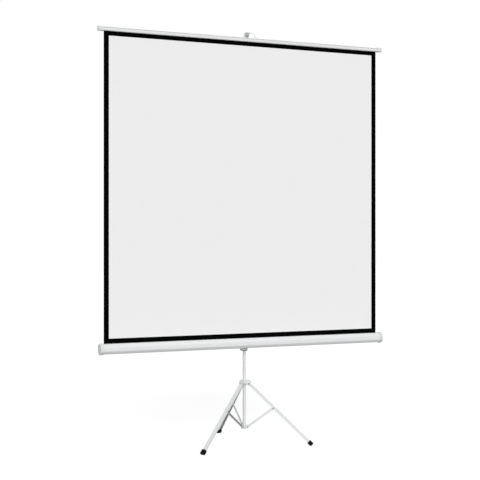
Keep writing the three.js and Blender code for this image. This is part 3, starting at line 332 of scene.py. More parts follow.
def coated_cloth(name, colour, uneven, roughness, specular):
    """A woven cloth. Uneven says how much darker its slubs are."""
    material, tree, shader = new_material(name)
    place = add_node(tree, "ShaderNodeUVMap", {"uv_map": "metres"}).outputs[0]
    across, along = [add_node(tree, "ShaderNodeTexWave", {"bands_direction": direction}, Vector=place,
                              Scale=1 / (THREAD * WAVE_BANDS), Distortion=WAVE_WOBBLE, Detail=0.0)
                     for direction in ("X", "Y")]
    weave = maths(tree, "MULTIPLY", across.outputs["Fac"], along.outputs["Fac"])
    slubs = add_node(tree, "ShaderNodeTexNoise", Vector=place, Scale=SLUB_SCALE, Detail=3.0).outputs[0]
    darker = [value * (1 - uneven) for value in colour]
    shade = mixed(tree, slubs, (*darker, 1.0), (*colour, 1.0))
    drift = add_node(tree, "ShaderNodeMapRange", Value=slubs,
                     To_Min=roughness - CLOTH_DRIFT, To_Max=roughness)
    relief = add_node(tree, "ShaderNodeBump", Strength=WEAVE_BUMP, Distance=WEAVE_RELIEF, Height=weave)
    wire_shader(tree, shader, shade, drift.outputs[0], relief)
    shader.inputs["Specular IOR Level"].default_value = specular
    return material


PICTURE_WHITE = coated_cloth("picture_white", (0.87, 0.87, 0.87), 0.012, 0.95, 0.15)
BORDER_BLACK = coated_cloth("border_black", (0.0012, 0.0012, 0.0012), 0.2, 0.95, 0.02)
CLOTH_BACK = coated_cloth("cloth_back", (0.028, 0.028, 0.03), 0.15, 0.9, 0.2)

# %% [markdown]
# ## Studio
#
# The object stands on pale paper that runs into a white background, as in the photograph. The paper
# is a mid grey for the light that bounces off it, and looks white to the camera and in reflections,
# so that it doesn't throw more light on the underside of the case than the studio did. One very broad
# lamp from the camera's side and an even surround give the soft, frontal light.

# %% Surround
WHITE = (1, 1, 1, 1)
SURROUND = 0.55


def seen_directly(tree):
    """1 for camera rays and for what shows in gloss or through glass, and 0 for diffuse light."""
    path = add_node(tree, "ShaderNodeLightPath")
    shown = maths(tree, "MAXIMUM", path.outputs["Is Camera Ray"], path.outputs["Is Glossy Ray"])
    return maths(tree, "MAXIMUM", shown, path.outputs["Is Transmission Ray"])


world = bpy.data.worlds.new("studio")
world.use_nodes = True
backdrop = world.node_tree.nodes["Background"]
backdrop.inputs["Color"].default_value = WHITE
surround = add_node(world.node_tree, "ShaderNodeMapRange", Value=seen_directly(world.node_tree),
                    To_Min=SURROUND, To_Max=1.0)
world.node_tree.links.new(surround.outputs[0], backdrop.inputs["Strength"])
bpy.context.scene.world = world
print("surround:", SURROUND, "for the light, white for the camera")

# %% Paper floor
FLOOR_HALF_WIDTH = 30
FLOOR_BOUNCE = 0.5
PAPER_LIFT = 0.7

paper, paper_tree, paper_shader = new_material("studio_paper")
paper_shader.inputs["Base Color"].default_value = (FLOOR_BOUNCE, FLOOR_BOUNCE, FLOOR_BOUNCE, 1)
paper_shader.inputs["Roughness"].default_value = 1
paper_shader.inputs["Specular IOR Level"].default_value = 0
paper_shader.inputs["Emission Color"].default_value = WHITE
lift = add_node(paper_tree, "ShaderNodeMapRange", Value=seen_directly(paper_tree),
                To_Min=0.0, To_Max=PAPER_LIFT)
paper_tree.links.new(lift.outputs[0], paper_shader.inputs["Emission Strength"])

floor_mesh = bpy.data.meshes.new("studio_floor")
floor_shape = bmesh.new()
bmesh.ops.create_grid(floor_shape, x_segments=1, y_segments=1, size=FLOOR_HALF_WIDTH)
floor_shape.to_mesh(floor_mesh)
floor_shape.free()
floor_mesh.materials.append(paper)
studio_floor = bpy.data.objects.new("studio_floor", floor_mesh)
bpy.context.scene.collection.objects.link(studio_floor)
print("floor:", 2 * FLOOR_HALF_WIDTH, "m wide")

# %% Lamp
LAMP_STRENGTH = 1.75
LAMP_TURN = math.radians(-12)
LAMP_RISE = math.radians(24)
LAMP_SPREAD = math.radians(50)

lamp_data = bpy.data.lights.new("broad_lamp", "SUN")
lamp_data.energy = LAMP_STRENGTH
lamp_data.angle = LAMP_SPREAD
broad_lamp = bpy.data.objects.new("broad_lamp", lamp_data)
broad_lamp.rotation_euler = (QUARTER_TURN - LAMP_RISE, 0, LAMP_TURN)
bpy.context.scene.collection.objects.link(broad_lamp)
print("lamp:", LAMP_STRENGTH, "over", round(math.degrees(LAMP_SPREAD)), "degrees")

# %% [markdown]
# ## From a shape to a piece
#
# Every piece is made as a bmesh, an editable shape, and then turned into an object at the origin.
# That object rides on its body of the frame and hides the imported nodes that it replaces. Faces
# that meet at a low angle are shaded as one smooth surface.

# %% Helpers for every piece
SHARP = math.radians(32)
ALONG = 0.999  # two directions count as the same if the cosine between them is above this


def faces_facing(shape, direction, keep=lambda middle: True):
    """The faces that look along a direction and whose middle passes the test."""
    towards = Vector(direction)
    return [face for face in shape.faces
            if face.normal.dot(towards) > ALONG and keep(face.calc_center_median())]


def slice_at(shape, point, normal, clear_outer=False):
    """Cuts a line of edges through the whole shape. What is beyond it stays or is cleared."""
    everything = shape.verts[:] + shape.edges[:] + shape.faces[:]
    return bmesh.ops.bisect_plane(shape, geom=everything, plane_co=point, plane_no=normal,
                                  clear_outer=clear_outer)["geom_cut"]


def make_piece(shape, name, body, material, stands_for=(), materials=()):
    """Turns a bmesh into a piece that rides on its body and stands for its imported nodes."""
    mesh = bpy.data.meshes.new(name)
    shape.normal_update()
    shape.to_mesh(mesh)
    shape.free()
    mesh.polygons.foreach_set("use_smooth", [True] * len(mesh.polygons))
    mesh.set_sharp_from_angle(angle=SHARP)
    for finish in [material, *materials]:
        mesh.materials.append(finish)
    piece = bpy.data.objects.new(name, mesh)
    bpy.context.scene.collection.objects.link(piece)
    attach(piece, body)
    if stands_for:
        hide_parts(*stands_for)
    print(name, "faces:", len(mesh.polygons))
    return piece


# %% [markdown]
# ## The fabric
#
# The cloth is one flat sheet that hangs from the bar and goes down through the case's slot to the
# roller. It is a grid, cut exactly where the black border begins, with its front in two finishes and
# a dark back. A taut sheet is never quite flat: long, very shallow waves run down it, less than a
# millimetre deep, and fade out where the cloth is held.

# %% Measure the cloth
BORDER = 31 * MM
HEADER = 25.5 * MM
ROLLER_LINE = 0.625
WAVE_DEPTH = 0.5 * MM
WAVES = ((3.0, 0.7, 0.0), (7.0, -1.1, 1.3))  # how many, how far they drift going up, their start

cloth_low, cloth_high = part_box("screen_fabric")
border_low, border_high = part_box("black_border")
CLOTH_Y = cloth_low.y
PICTURE_BOTTOM = border_low.z + BORDER
PICTURE_TOP = border_high.z - HEADER
cloth_width = cloth_high.x - cloth_low.x


def wave(x, height):
    """Depth of the cloth's shallow waves at a place."""
    across = x / cloth_width
    up = (height - ROLLER_LINE) / (cloth_high.z - ROLLER_LINE)
    held = math.sin(math.pi * up)
    return WAVE_DEPTH * held * sum(math.sin(math.tau * (across * count + up * drift) + start)
                                   for count, drift, start in WAVES)


print("cloth", round(cloth_width, 3), "m wide, picture top at", round(PICTURE_TOP, 4), "m")

# %% Hang the cloth
CLOTH_THICKNESS = 0.5 * MM
CLOTH_COLUMNS = 48
CLOTH_ROWS = 64
HEM_DROP = 1 * MM
HEM = cloth_high.z - HEM_DROP
PICTURE_FACE, BORDER_FACE, BACK_FACE = range(3)  # their places in the list of finishes


def make_cloth(name, bottom, top, body, rows):
    """A stretch of the cloth between two heights."""
    shape = bmesh.new()
    half = cloth_width / 2
    middle = Vector((0, CLOTH_Y, (bottom + top) / 2))
    upright = Matrix.Rotation(QUARTER_TURN, 4, "X")
    stretch = Matrix.Diagonal((half, (top - bottom) / 2, 1, 1))
    bmesh.ops.create_grid(shape, x_segments=CLOTH_COLUMNS, y_segments=rows, size=1,
                          matrix=Matrix.Translation(middle) @ upright @ stretch)
    inner = half - BORDER
    for side in (-inner, inner):
        slice_at(shape, (side, 0, 0), (1, 0, 0))
    for height in (PICTURE_BOTTOM, PICTURE_TOP):
        if bottom < height < top:
            slice_at(shape, (0, 0, height), (0, 0, 1))
    places = shape.loops.layers.uv.new("metres")
    for face in shape.faces:
        centre = face.calc_center_median()
        picture = abs(centre.x) < inner and PICTURE_BOTTOM < centre.z < PICTURE_TOP
        face.material_index = PICTURE_FACE if picture else BORDER_FACE
        for loop in face.loops:
            loop[places].uv = (loop.vert.co.x, loop.vert.co.z)
    for vertex in shape.verts:
        vertex.co.y += wave(vertex.co.x, vertex.co.z)
    bmesh.ops.solidify(shape, geom=shape.faces[:], thickness=CLOTH_THICKNESS)
    shape.normal_update()
    for face in faces_facing(shape, (0, 1, 0)):
        face.material_index = BACK_FACE
    return make_piece(shape, name, body, PICTURE_WHITE,
                      materials=[BORDER_BLACK, CLOTH_BACK])


picture_cloth = make_cloth("picture_cloth", ROLLER_LINE, PICTURE_TOP, "case", CLOTH_ROWS)
header_cloth = make_cloth("header_cloth", PICTURE_TOP, HEM, "bar", 1)
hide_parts("screen_fabric", "black_border")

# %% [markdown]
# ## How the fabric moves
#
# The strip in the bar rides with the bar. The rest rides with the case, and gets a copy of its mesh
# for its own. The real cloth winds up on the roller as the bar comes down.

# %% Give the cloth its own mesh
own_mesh(picture_cloth)

# %% [markdown]
# ## Helpers for blocks and sheet metal
#
# Most of the pieces start as a block or an eight-sided bar, get their long edges rounded, lose the
# faces where they are open, and get the thickness of their sheet. A few helpers hold those steps, all
# of them bmesh operators.


# %% Blocks, roundings and walls
def block(low, high):
    """A box between two corners."""
    shape = bmesh.new()
    size = Vector(high) - Vector(low)
    middle = (Vector(high) + Vector(low)) / 2
    place = Matrix.Translation(middle) @ Matrix.Diagonal((*size, 1))
    bmesh.ops.create_cube(shape, size=1, matrix=place)
    return shape


def round_edges(shape, edges, radius, segments, clamp=True):
    """Rounds the given edges. The clamp narrows every rounding to what the shortest edge allows."""
    bmesh.ops.bevel(shape, geom=list(edges), offset=radius, offset_type="OFFSET", segments=segments,
                    profile=0.5, affect="EDGES", material=-1, clamp_overlap=clamp)


def edges_along(shape, axis, keep=lambda middle: True):
    """The edges that run along an axis and whose middle passes the test."""
    found = []
    for edge in shape.edges:
        run = (edge.verts[1].co - edge.verts[0].co).normalized()
        if abs(run[axis]) > ALONG and keep((edge.verts[0].co + edge.verts[1].co) / 2):
            found.append(edge)
    return found


def open_faces(shape, faces):
    """Takes faces away and leaves the shell open there."""
    bmesh.ops.delete(shape, geom=list(faces), context="FACES_ONLY")
    bmesh.ops.delete(shape, geom=[v for v in shape.verts if not v.link_faces], context="VERTS")


def open_ends(shape, direction):
    """Opens both ends of a tube that runs along a direction."""
    open_faces(shape, faces_facing(shape, direction) + faces_facing(shape, -Vector(direction)))


def give_wall(shape, thickness):
    """Gives an open shell its wall, on the inside of the faces."""
    bmesh.ops.recalc_face_normals(shape, faces=shape.faces[:])
    bmesh.ops.solidify(shape, geom=shape.faces[:], thickness=thickness)


# %% Pushing a part of the surface
def only(items, kind):
    """The items of one kind, such as the vertices of what an operator made."""
    return [item for item in items if isinstance(item, kind)]


def push_in(shape, faces, vector):
    """Moves faces along a vector, with new walls round them. Returns their vertices."""
    made = bmesh.ops.extrude_face_region(shape, geom=faces)["geom"]
    bmesh.ops.delete(shape, geom=faces, context="FACES_ONLY")
    moved = only(made, bmesh.types.BMVert)
    bmesh.ops.translate(shape, verts=moved, vec=vector)
    return moved


# %% [markdown]
# ## The top bar
#
# The bar is a rolled steel tube with a slot along its underside that grips the cloth's hem, and with
# a rolled groove near the top of its front, which reads as a thin grey line from afar. A block with
# its four long edges rounded has the outline. The ends and the slot are opened, the groove's strip is
# pushed in, and the shell gets its wall. That keeps the lip at the slot, which a solid would lose.

# %% Roll the bar
NEAR = 0.001 * MM
BAR_ROUNDING = 4 * MM
BAR_WALL = 1.2 * MM
HALF_SLOT = 1.6 * MM
GROOVE_DROP = 4 * MM
GROOVE_HEIGHT = 3.5 * MM
GROOVE_DEPTH = 3.2 * MM

bar_low, bar_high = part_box("top_bar")
cloth_middle = (cloth_low.y + cloth_high.y) / 2
groove_top = bar_high.z - GROOVE_DROP
groove_bottom = groove_top - GROOVE_HEIGHT

bar_shape = block(bar_low, bar_high)
round_edges(bar_shape, edges_along(bar_shape, 0), BAR_ROUNDING, segments=6)
open_ends(bar_shape, (1, 0, 0))
for edge_y in (cloth_middle - HALF_SLOT, cloth_middle + HALF_SLOT):
    slice_at(bar_shape, (0, edge_y, 0), (0, 1, 0))
open_faces(bar_shape, faces_facing(bar_shape, (0, 0, -1),
                                   lambda middle: abs(middle.y - cloth_middle) < HALF_SLOT))
for height in (groove_top, groove_bottom):
    slice_at(bar_shape, (0, 0, height), (0, 0, 1))
strip = faces_facing(bar_shape, (0, -1, 0), lambda middle: groove_bottom < middle.z < groove_top)
push_in(bar_shape, strip, (0, GROOVE_DEPTH, 0))
open_faces(bar_shape, [face for face in bar_shape.faces
                       if abs(face.calc_center_median().x) > bar_high.x - NEAR])
give_wall(bar_shape, BAR_WALL)
make_piece(bar_shape, "rolled_bar", "bar", POWDER_COAT, ["top_bar"])

# %% [markdown]
# ## The bar's end caps
#
# Each cap is a moulded sleeve that is slightly larger than the bar, with a soft rim. A block is
# rounded along its length first and round its outer face second, so that the two roundings run into
# each other as they do in a mould. The mouth is an inset pushed inwards.

# %% Mould the bar caps
CAP_ROUNDING = 5.4 * MM
CAP_RIM = 2 * MM
CAP_LIP = 1.2 * MM
CAP_MOUTH = 4 * MM
SIDES = {"left": -1, "right": 1}


def edges_at(shape, axis, place):
    """The edges that lie at one place on an axis."""
    return [edge for edge in shape.edges
            if all(abs(vertex.co[axis] - place) < NEAR for vertex in edge.verts)]


def sink_mouth(shape, direction, lip, depth):
    """Sinks the end that looks along a direction, inside a lip."""
    mouth = faces_facing(shape, direction)
    bmesh.ops.inset_region(shape, faces=mouth, thickness=lip, depth=0)
    sunk = list({vertex for face in mouth for vertex in face.verts})
    bmesh.ops.translate(shape, verts=sunk, vec=-depth * Vector(direction))


def mould_bar_cap(word, side):
    """One cap of the bar. Its side is -1 for left and 1 for right."""
    low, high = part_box(f"bar_cap_{word}")
    shape = block(low, high)
    outer = high.x if side > 0 else low.x
    round_edges(shape, edges_along(shape, 0), CAP_ROUNDING, segments=6)
    round_edges(shape, edges_at(shape, 0, outer), CAP_RIM, segments=4)
    sink_mouth(shape, (-side, 0, 0), CAP_LIP, CAP_MOUTH)
    make_piece(shape, f"moulded_bar_cap_{word}", "bar", MOULDED_WHITE,
               [f"bar_cap_{word}"])


for word, side in SIDES.items():
    mould_bar_cap(word, side)

# %% [markdown]
# ## The case
#
# The case is folded from one sheet into eight flats with small rounded bends, and left open in a slot
# at the top rear, where the cloth comes out. A cone with equal radii and eight segments is such a
# bar. It is turned half a step so that a flat is on top, its bends are rounded, and the slot is cut.

# %% Fold the case
BEND = 3 * MM
CASE_WALL = 1.4 * MM
SLOT_WIDTH = 8.4 * MM
CASE_SIDES = 8

case_low, case_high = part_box("case_shell")
CASE_MIDDLE = (case_low + case_high) / 2
ACROSS_FLATS = case_high.z - case_low.z


def eight_sided(across, start, end, caps):
    """An eight-sided bar along X on the case's axis."""
    shape = bmesh.new()
    half_step = math.pi / CASE_SIDES
    radius = across / 2 / math.cos(half_step)
    turn = Matrix.Rotation(QUARTER_TURN, 4, "Y") @ Matrix.Rotation(half_step, 4, "Z")
    middle = Matrix.Translation(((start + end) / 2, CASE_MIDDLE.y, CASE_MIDDLE.z))
    bmesh.ops.create_cone(shape, cap_ends=caps, segments=CASE_SIDES, radius1=radius, radius2=radius,
                          depth=end - start, matrix=middle @ turn)
    return shape


case_shape = eight_sided(ACROSS_FLATS, case_low.x, case_high.x, caps=False)
round_edges(case_shape, edges_along(case_shape, 0), BEND, segments=4)
for edge_y in (cloth_middle - SLOT_WIDTH / 2, cloth_middle + SLOT_WIDTH / 2):
    slice_at(case_shape, (0, edge_y, 0), (0, 1, 0))
open_faces(case_shape, [face for face in case_shape.faces
                        if face.calc_center_median().z > CASE_MIDDLE.z
                        and abs(face.calc_center_median().y - cloth_middle) < SLOT_WIDTH / 2])
give_wall(case_shape, CASE_WALL)
make_piece(case_shape, "folded_case", "case", POWDER_COAT, ["case_shell"])

# %% [markdown]
# ## The case's end caps
#
# The caps are thick mouldings that slip over the case. The photograph shows a bright rounded rim
# round a slightly duller face, so the face is set back a little behind its rim.

# %% Mould the end caps
END_CAP_BEND = 4.5 * MM
END_RIM = 2.5 * MM
END_RIM_WIDTH = 4 * MM
END_FACE_DEPTH = 1.2 * MM
END_MOUTH_LIP = 3 * MM
END_MOUTH_DEPTH = 3 * MM


def mould_end_cap(word, side):
    """One end cap of the case, with its face set back."""
    low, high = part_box(f"end_cap_{word}")
    shape = eight_sided(high.z - low.z, low.x, high.x, caps=True)
    outer = high.x if side > 0 else low.x
    round_edges(shape, edges_along(shape, 0), END_CAP_BEND, segments=5)
    round_edges(shape, edges_at(shape, 0, outer), END_RIM, segments=4)
    end_face = faces_facing(shape, (side, 0, 0))
    bmesh.ops.inset_region(shape, faces=end_face, thickness=END_RIM_WIDTH, depth=0)
    bmesh.ops.inset_region(shape, faces=end_face, thickness=END_FACE_DEPTH, depth=-END_FACE_DEPTH)
    sink_mouth(shape, (-side, 0, 0), END_MOUTH_LIP, END_MOUTH_DEPTH)
    make_piece(shape, f"moulded_end_cap_{word}", "case", MOULDED_WHITE,
               [f"end_cap_{word}"])


for word, side in SIDES.items():
    mould_end_cap(word, side)

# %% [markdown]
# ## The mast and its extension
#
# Both are square steel tubes with small rolled corners. The mast is painted, and the rod inside it
# is plated, because paint would rub off where it slides.

# %% Draw the square tubes
TUBE_CORNER = 1.6 * MM
MAST_WALL = 1.2 * MM
ROD_WALL = 1 * MM


def draw_tube(node, name, body, material, wall):
    """A square tube as long and wide as its node."""
    low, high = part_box(node)
    shape = block(low, high)
    round_edges(shape, edges_along(shape, 2), TUBE_CORNER, segments=4)
    open_ends(shape, (0, 0, 1))
    give_wall(shape, wall)
    make_piece(shape, name, body, material, [node])


draw_tube("mast_tube", "drawn_mast", "mast", POWDER_COAT, MAST_WALL)
draw_tube("extension_rod", "drawn_rod", "rod", PLATED_STEEL, ROD_WALL)

# %% [markdown]
# ## Where a leg stands
#
# A leg is made upright at the origin, its open side towards -X, and then set on its pivot at its
# splay and turned to its own azimuth. The splay follows from three places: how high the frame has
# the pivot, how far it is from the mast, and how far from the mast the leg's line meets the floor.

# %% Measure the stand
LEG_DEPTH = 15 * MM
FOOT_REACH = 418 * MM
PIVOT_REACH = 28 * MM
LEG_END_RISE = 4 * MM
LEGS = {"front_left": ("leg_a", -150), "front_right": ("leg_b", -30), "rear": ("leg_c", 90)}

pin_low, pin_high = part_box("leg_pin_rear")
PIVOT_HEIGHT = (pin_low.z + pin_high.z) / 2
SPLAY = math.atan2(FOOT_REACH - PIVOT_REACH, PIVOT_HEIGHT)
LEG_LENGTH = (PIVOT_HEIGHT - LEG_END_RISE - LEG_DEPTH / 2 * math.sin(SPLAY)) / math.cos(SPLAY)


def stand_on(azimuth):
    """From the upright leg at the origin to its place on the stand."""
    round_mast = Matrix.Translation((0, MAST_Y, 0)) @ Matrix.Rotation(math.radians(azimuth), 4, "Z")
    on_pivot = Matrix.Translation((PIVOT_REACH, 0, PIVOT_HEIGHT))
    return round_mast @ on_pivot @ Matrix.Rotation(-SPLAY, 4, "Y")


print("splay", round(math.degrees(SPLAY), 2), "length", round(LEG_LENGTH, 4))

# %% [markdown]
# ## The legs
#
# A leg is a pressed channel, open towards the mast so that its brace folds away inside it, and its
# upper end is round about the pivot. A block gets the round end and the two bends of the web, loses
# its open side and lower end, and gets its wall. The bends come out almost sharp, because the round
# end has short edges and the clamp narrows the bends to suit them. The faces inside the channel are
# painted a darker grey, as painted shade.

# %% Press the legs
LEG_WIDTH = 19 * MM
LEG_WALL = 1.4 * MM
LEG_BEND = 2.4 * MM  # asked for, but the clamp leaves only 0.09 mm
ROUND_OFF = 0.01 * MM
END_ROUNDING = 0.98  # of half the leg's depth, because a full half would leave no face between
OUTSIDE, INSIDE_PAINTED_SHADE = 0, 1


def press_leg(word):
    """One leg, made upright and then stood in its place."""
    body, azimuth = LEGS[word]
    deep, wide = LEG_DEPTH / 2, LEG_WIDTH / 2
    shape = block((-deep, -wide, -LEG_LENGTH), (deep, wide, deep))
    upper_end = edges_along(shape, 1, lambda middle: middle.z > 0)
    round_edges(shape, upper_end, deep * END_ROUNDING, segments=10)
    web = edges_along(shape, 2, lambda middle: middle.x > 0)
    round_edges(shape, web, LEG_BEND, segments=4)
    open_faces(shape, faces_facing(shape, (-1, 0, 0)) + faces_facing(shape, (0, 0, -1)))
    give_wall(shape, LEG_WALL)
    cavity = (deep - LEG_WALL + ROUND_OFF, wide - LEG_WALL + ROUND_OFF)
    # The faces inside the channel get painted shade: a darker grey than the coat.
    for face in shape.faces:
        centre = face.calc_center_median()
        hollow = centre.x < cavity[0] and abs(centre.y) < cavity[1]
        face.material_index = INSIDE_PAINTED_SHADE if hollow else OUTSIDE
    bmesh.ops.transform(shape, matrix=stand_on(azimuth), verts=shape.verts[:])
    make_piece(shape, f"pressed_leg_{word}", body, POWDER_COAT, [f"leg_{word}"],
               materials=[PAINTED_SHADE_AND_PIN_GREY])


for word in LEGS:
    press_leg(word)

# %% [markdown]
# ## The feet
#
# The feet are rubber boots with a square end, pushed on the channel. Only their lowest edge touches
# the floor, and it is cut level there. They are modelled on the upright leg with their grip rings,
# stood in place, and only then cut at floor height, which gives the slanted sole without any sums.

# %% Dip the feet
BOOT_DEPTH = 24 * MM
BOOT_WIDTH = 27 * MM
BOOT_CORNER = 5 * MM
BOOT_SLEEVE = 22 * MM
BOOT_LIP = 2 * MM
BOOT_END = 7.3 * MM
BOOT_MOUTH_LIP = 0.9 * MM
BOOT_MOUTH_DEPTH = 2 * MM
RING_HEIGHT = 1.6 * MM
RING_GROOVE = 0.7 * MM
RING_SLOPE = 0.3 * MM
RING_COUNT = 4
RING_START = 5 * MM
RING_STEP = 5.2 * MM
STEEP = 0.5  # a face whose normal has less height than this is on the boot's side


def cut_ring(shape, height):
    """Cuts one groove round the boot, below a height."""
    for edge_height in (height, height - RING_HEIGHT):
        slice_at(shape, (0, 0, edge_height), (0, 0, 1))
    groove = [face for face in shape.faces
              if height - RING_HEIGHT < face.calc_center_median().z < height
              and abs(face.normal.z) < STEEP]
    bmesh.ops.inset_region(shape, faces=groove, thickness=RING_SLOPE, depth=-RING_GROOVE)


def dip_foot(word):
    """One boot, made on the upright leg and cut level where it stands."""
    body, azimuth = LEGS[word]
    top = -LEG_LENGTH + BOOT_SLEEVE
    end = -LEG_LENGTH - BOOT_END
    shape = block((-BOOT_DEPTH / 2, -BOOT_WIDTH / 2, end), (BOOT_DEPTH / 2, BOOT_WIDTH / 2, top))
    round_edges(shape, edges_along(shape, 2), BOOT_CORNER, segments=5)
    for level in (top, end):
        round_edges(shape, edges_at(shape, 2, level), BOOT_LIP, segments=3)
    sink_mouth(shape, (0, 0, 1), BOOT_MOUTH_LIP, BOOT_MOUTH_DEPTH)
    for ring in range(RING_COUNT):
        cut_ring(shape, top - RING_START - ring * RING_STEP)
    bmesh.ops.transform(shape, matrix=stand_on(azimuth), verts=shape.verts[:])
    sole = slice_at(shape, (0, 0, 0), (0, 0, -1), clear_outer=True)
    bmesh.ops.holes_fill(shape, edges=only(sole, bmesh.types.BMEdge), sides=0)
    make_piece(shape, f"rubber_boot_{word}", body, RUBBER, [f"foot_{word}"])


for word in LEGS:
    dip_foot(word)

# %% [markdown]
# ## The pull bail
#
# The handle is a bent wire. A ring of points is pushed along the wire's route: straight pushes are
# extrusions, and each bend is a spin of the ring about the bend's centre. The bail leans back into
# the hook, so the arch is made upright over its pivot and then leaned.

# %% Measure the bail
WIRE = 2.5 * MM
BAIL_HALF = 34 * MM
BAIL_BEND = 20 * MM
FOOT_BEND = 6 * MM

bail_low, bail_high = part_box("pull_bail")
clip_low, clip_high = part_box("bail_clip_left")
BAIL_X = (clip_low.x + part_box("bail_clip_right")[1].x) / 2
BAIL_PIVOT = Vector((BAIL_X, (clip_low.y + clip_high.y) / 2, (clip_low.z + clip_high.z) / 2))
reach_back = bail_high.y - WIRE - BAIL_PIVOT.y
reach_up = bail_high.z - WIRE - BAIL_PIVOT.z
BAIL_LEAN = math.atan2(reach_back, reach_up)
BAIL_HEIGHT = math.hypot(reach_back, reach_up)
print("bail leans", round(math.degrees(BAIL_LEAN), 1), "degrees, height", round(BAIL_HEIGHT, 4))


# %% Helpers for bending a wire
def push(shape, ring, vector):
    """Extrudes the ring of edges along a vector and returns the new ring."""
    made = bmesh.ops.extrude_edge_only(shape, edges=ring)["geom"]
    bmesh.ops.translate(shape, verts=only(made, bmesh.types.BMVert), vec=vector)
    return only(made, bmesh.types.BMEdge)


def bend(shape, ring, centre, axis, steps):
    """Spins the ring of edges a quarter turn about a centre and returns the new ring."""
    made = bmesh.ops.spin(shape, geom=ring, cent=centre, axis=axis, angle=QUARTER_TURN, steps=steps,
                          use_duplicate=False)
    return only(made["geom_last"], bmesh.types.BMEdge)


# %% Bend the wire
WIRE_SIDES = 16
FOOT_STEPS = 8
ARCH_STEPS = 12
LEFT_TURN = (0, -1, 0)
RIGHT_TURN = (0, 1, 0)

arch = BAIL_HEIGHT - BAIL_BEND
foot_end = bail_low.x - BAIL_X
foot_run = -foot_end - BAIL_HALF - FOOT_BEND
start_place = Matrix.Translation((foot_end, 0, 0)) @ Matrix.Rotation(QUARTER_TURN, 4, "Y")
wire_shape = bmesh.new()
bmesh.ops.create_circle(wire_shape, cap_ends=True, segments=WIRE_SIDES, radius=WIRE, matrix=start_place)
ring = push(wire_shape, wire_shape.edges[:], (foot_run, 0, 0))
ring = bend(wire_shape, ring, (-BAIL_HALF - FOOT_BEND, 0, FOOT_BEND), LEFT_TURN, FOOT_STEPS)
ring = push(wire_shape, ring, (0, 0, arch - FOOT_BEND))
ring = bend(wire_shape, ring, (-BAIL_HALF + BAIL_BEND, 0, arch), RIGHT_TURN, ARCH_STEPS)
ring = push(wire_shape, ring, (2 * (BAIL_HALF - BAIL_BEND), 0, 0))
ring = bend(wire_shape, ring, (BAIL_HALF - BAIL_BEND, 0, arch), RIGHT_TURN, ARCH_STEPS)
ring = push(wire_shape, ring, (0, 0, FOOT_BEND - arch))
ring = bend(wire_shape, ring, (BAIL_HALF + FOOT_BEND, 0, FOOT_BEND), LEFT_TURN, FOOT_STEPS)
ring = push(wire_shape, ring, (foot_run, 0, 0))
bmesh.ops.holes_fill(wire_shape, edges=ring, sides=0)
bmesh.ops.recalc_face_normals(wire_shape, faces=wire_shape.faces[:])
bail_place = Matrix.Translation(BAIL_PIVOT) @ Matrix.Rotation(-BAIL_LEAN, 4, "X")
bmesh.ops.transform(wire_shape, matrix=bail_place, verts=wire_shape.verts[:])
make_piece(wire_shape, "bent_bail", "bail", PLATED_STEEL, ["pull_bail"])

# %% [markdown]
# ## Mouldings and fasteners that the frame already shapes well
#
# The hub, collars, knobs, carriage, hook, clips, bracket, pins, rivets and screws have their true
# shapes in the frame, but with knife edges that no moulding or pressing has. A copy of each is
# welded, its flat triangles are dissolved into whole faces, and every sharp outer edge gets a small
# rounding that catches the light. The rounding isn't clamped, because the copies have short edges
# round their holes, and the clamp would narrow all of a copy's roundings to almost nothing.

# %% Copy the frame's nodes
WELD = 0.002 * MM
FLAT = math.radians(1)


def copy_of(node):
    """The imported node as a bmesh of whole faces."""
    shape = bmesh.new()
    shape.from_mesh(frame["nodes"][node].data)
    bmesh.ops.remove_doubles(shape, verts=shape.verts[:], dist=WELD)
    bmesh.ops.dissolve_limit(shape, angle_limit=FLAT, verts=shape.verts[:], edges=shape.edges[:])
    return shape


def soften(node, radius, material, shape=None, materials=()):
    """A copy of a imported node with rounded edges, which stands for it."""
    shape = shape or copy_of(node)
    outer = [edge for edge in shape.edges if edge.is_convex and edge.calc_face_angle(0) > SHARP]
    round_edges(shape, outer, radius, segments=2, clamp=False)
    make_piece(shape, f"{node}_softened", frame["nodes"][node]["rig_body"], material,
               [node], materials=materials)


# %% Soften the copies
MOULDED_EDGE = 0.8 * MM
KNOB_EDGE = 0.6 * MM
PIN_EDGE = 0.5 * MM
SMALL_PIN_EDGE = 0.4 * MM
PRESSED_EDGE = 0.35 * MM
SCREW_EDGE = 0.3 * MM

SOFTENED = (
    (MOULDED_EDGE, MOULDED_WHITE, ("leg_hub", "brace_collar")),
    (MOULDED_EDGE, MOULDED_GREY, ("rod_collar", "carriage_body")),
    (KNOB_EDGE, MOULDED_GREY, ("rod_lock_knob", "carriage_knob", "mast_end_plug")),
    (MOULDED_EDGE, MOULDED_WHITE, ("hub_lock_screw",)),
    (MOULDED_EDGE, DULL_ZINC, ("hook_head",)),
    (KNOB_EDGE, POWDER_COAT, ("bail_clip_left", "bail_clip_right")),
    (PRESSED_EDGE, PLATED_STEEL, ("case_bracket", "pivot_bolt")),
    (PRESSED_EDGE, DULL_ZINC, ("carriage_band",)),
)
for radius, finish, nodes in SOFTENED:
    for node in nodes:
        soften(node, radius, finish)
for word in LEGS:
    soften(f"leg_pin_{word}", PIN_EDGE, PAINTED_SHADE_AND_PIN_GREY)
    soften(f"brace_rivet_{word}", PIN_EDGE, DARK_STEEL)
    soften(f"collar_pin_{word}", SMALL_PIN_EDGE, DARK_STEEL)
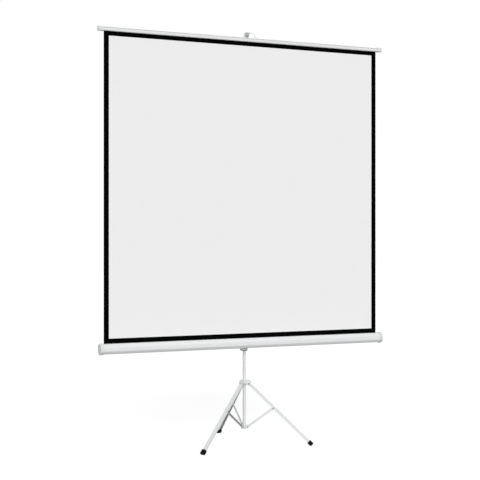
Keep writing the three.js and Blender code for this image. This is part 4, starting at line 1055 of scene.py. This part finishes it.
for node in ("bracket_rivet_left", "bracket_rivet_right", "rod_collar_screw", "cap_screw_left",
             "cap_screw_right"):
    soften(node, SCREW_EDGE, PLATED_STEEL)

# %% [markdown]
# ## The braces
#
# A brace is pressed from strip into a shallow channel, with a boss left round each pin's hole. In the
# photograph the left brace shows its dark hollow side, and the other two show their light backs. The
# copy's flat face on the hollow side is inset, which follows its outline and its holes at once, and
# what is inside the rim is pushed in. The hollow's faces are painted a darker grey, as painted shade.

# %% Press the braces
BRACE_RIM = 1.3 * MM
BRACE_HOLLOW = 4 * MM
OPEN_TURNS = {"front_left": 90, "front_right": 90, "rear": -90}


def press_brace(word):
    """One brace, hollowed on its open side."""
    _, azimuth = LEGS[word]
    shape = copy_of(f"brace_{word}")
    shape.normal_update()
    open_turn = math.radians(azimuth + OPEN_TURNS[word])
    open_side = Matrix.Rotation(open_turn, 3, "Z") @ Vector((1, 0, 0))
    flat = faces_facing(shape, open_side)
    bmesh.ops.inset_region(shape, faces=flat, thickness=BRACE_RIM, depth=0, use_even_offset=True)
    # The hollow's faces are painted a darker grey, as painted shade.
    for vertex in push_in(shape, flat, -BRACE_HOLLOW * open_side):
        for face in vertex.link_faces:
            face.material_index = INSIDE_PAINTED_SHADE
    soften(f"brace_{word}", PRESSED_EDGE, POWDER_COAT, shape=shape, materials=[PAINTED_SHADE_AND_PIN_GREY])


for word in LEGS:
    press_brace(word)

# %% [markdown]
# ## What stays inside
#
# The roller with its spring, shaft, plugs and turns of cloth, the hem rod and the rod's guide keep
# the frame's own shapes. Little or nothing of them shows, through the slot or an open end, but each
# still gets the finish of what it is made of.

# %% Finish the inner pieces
INNER_FINISHES = {
    "roller_tube": PLATED_STEEL, "spring_shaft": PLATED_STEEL, "roller_spring": PLATED_STEEL,
    "roller_plug_left": MOULDED_GREY, "roller_plug_right": MOULDED_GREY, "rod_guide": MOULDED_GREY,
    "hem_rod": MOULDED_WHITE, "fabric_wraps": CLOTH_BACK,
}
for node, finish in INNER_FINISHES.items():
    mesh = frame["nodes"][node].data
    mesh.materials.clear()
    mesh.materials.append(finish)
    print(node, "finish:", finish.name)
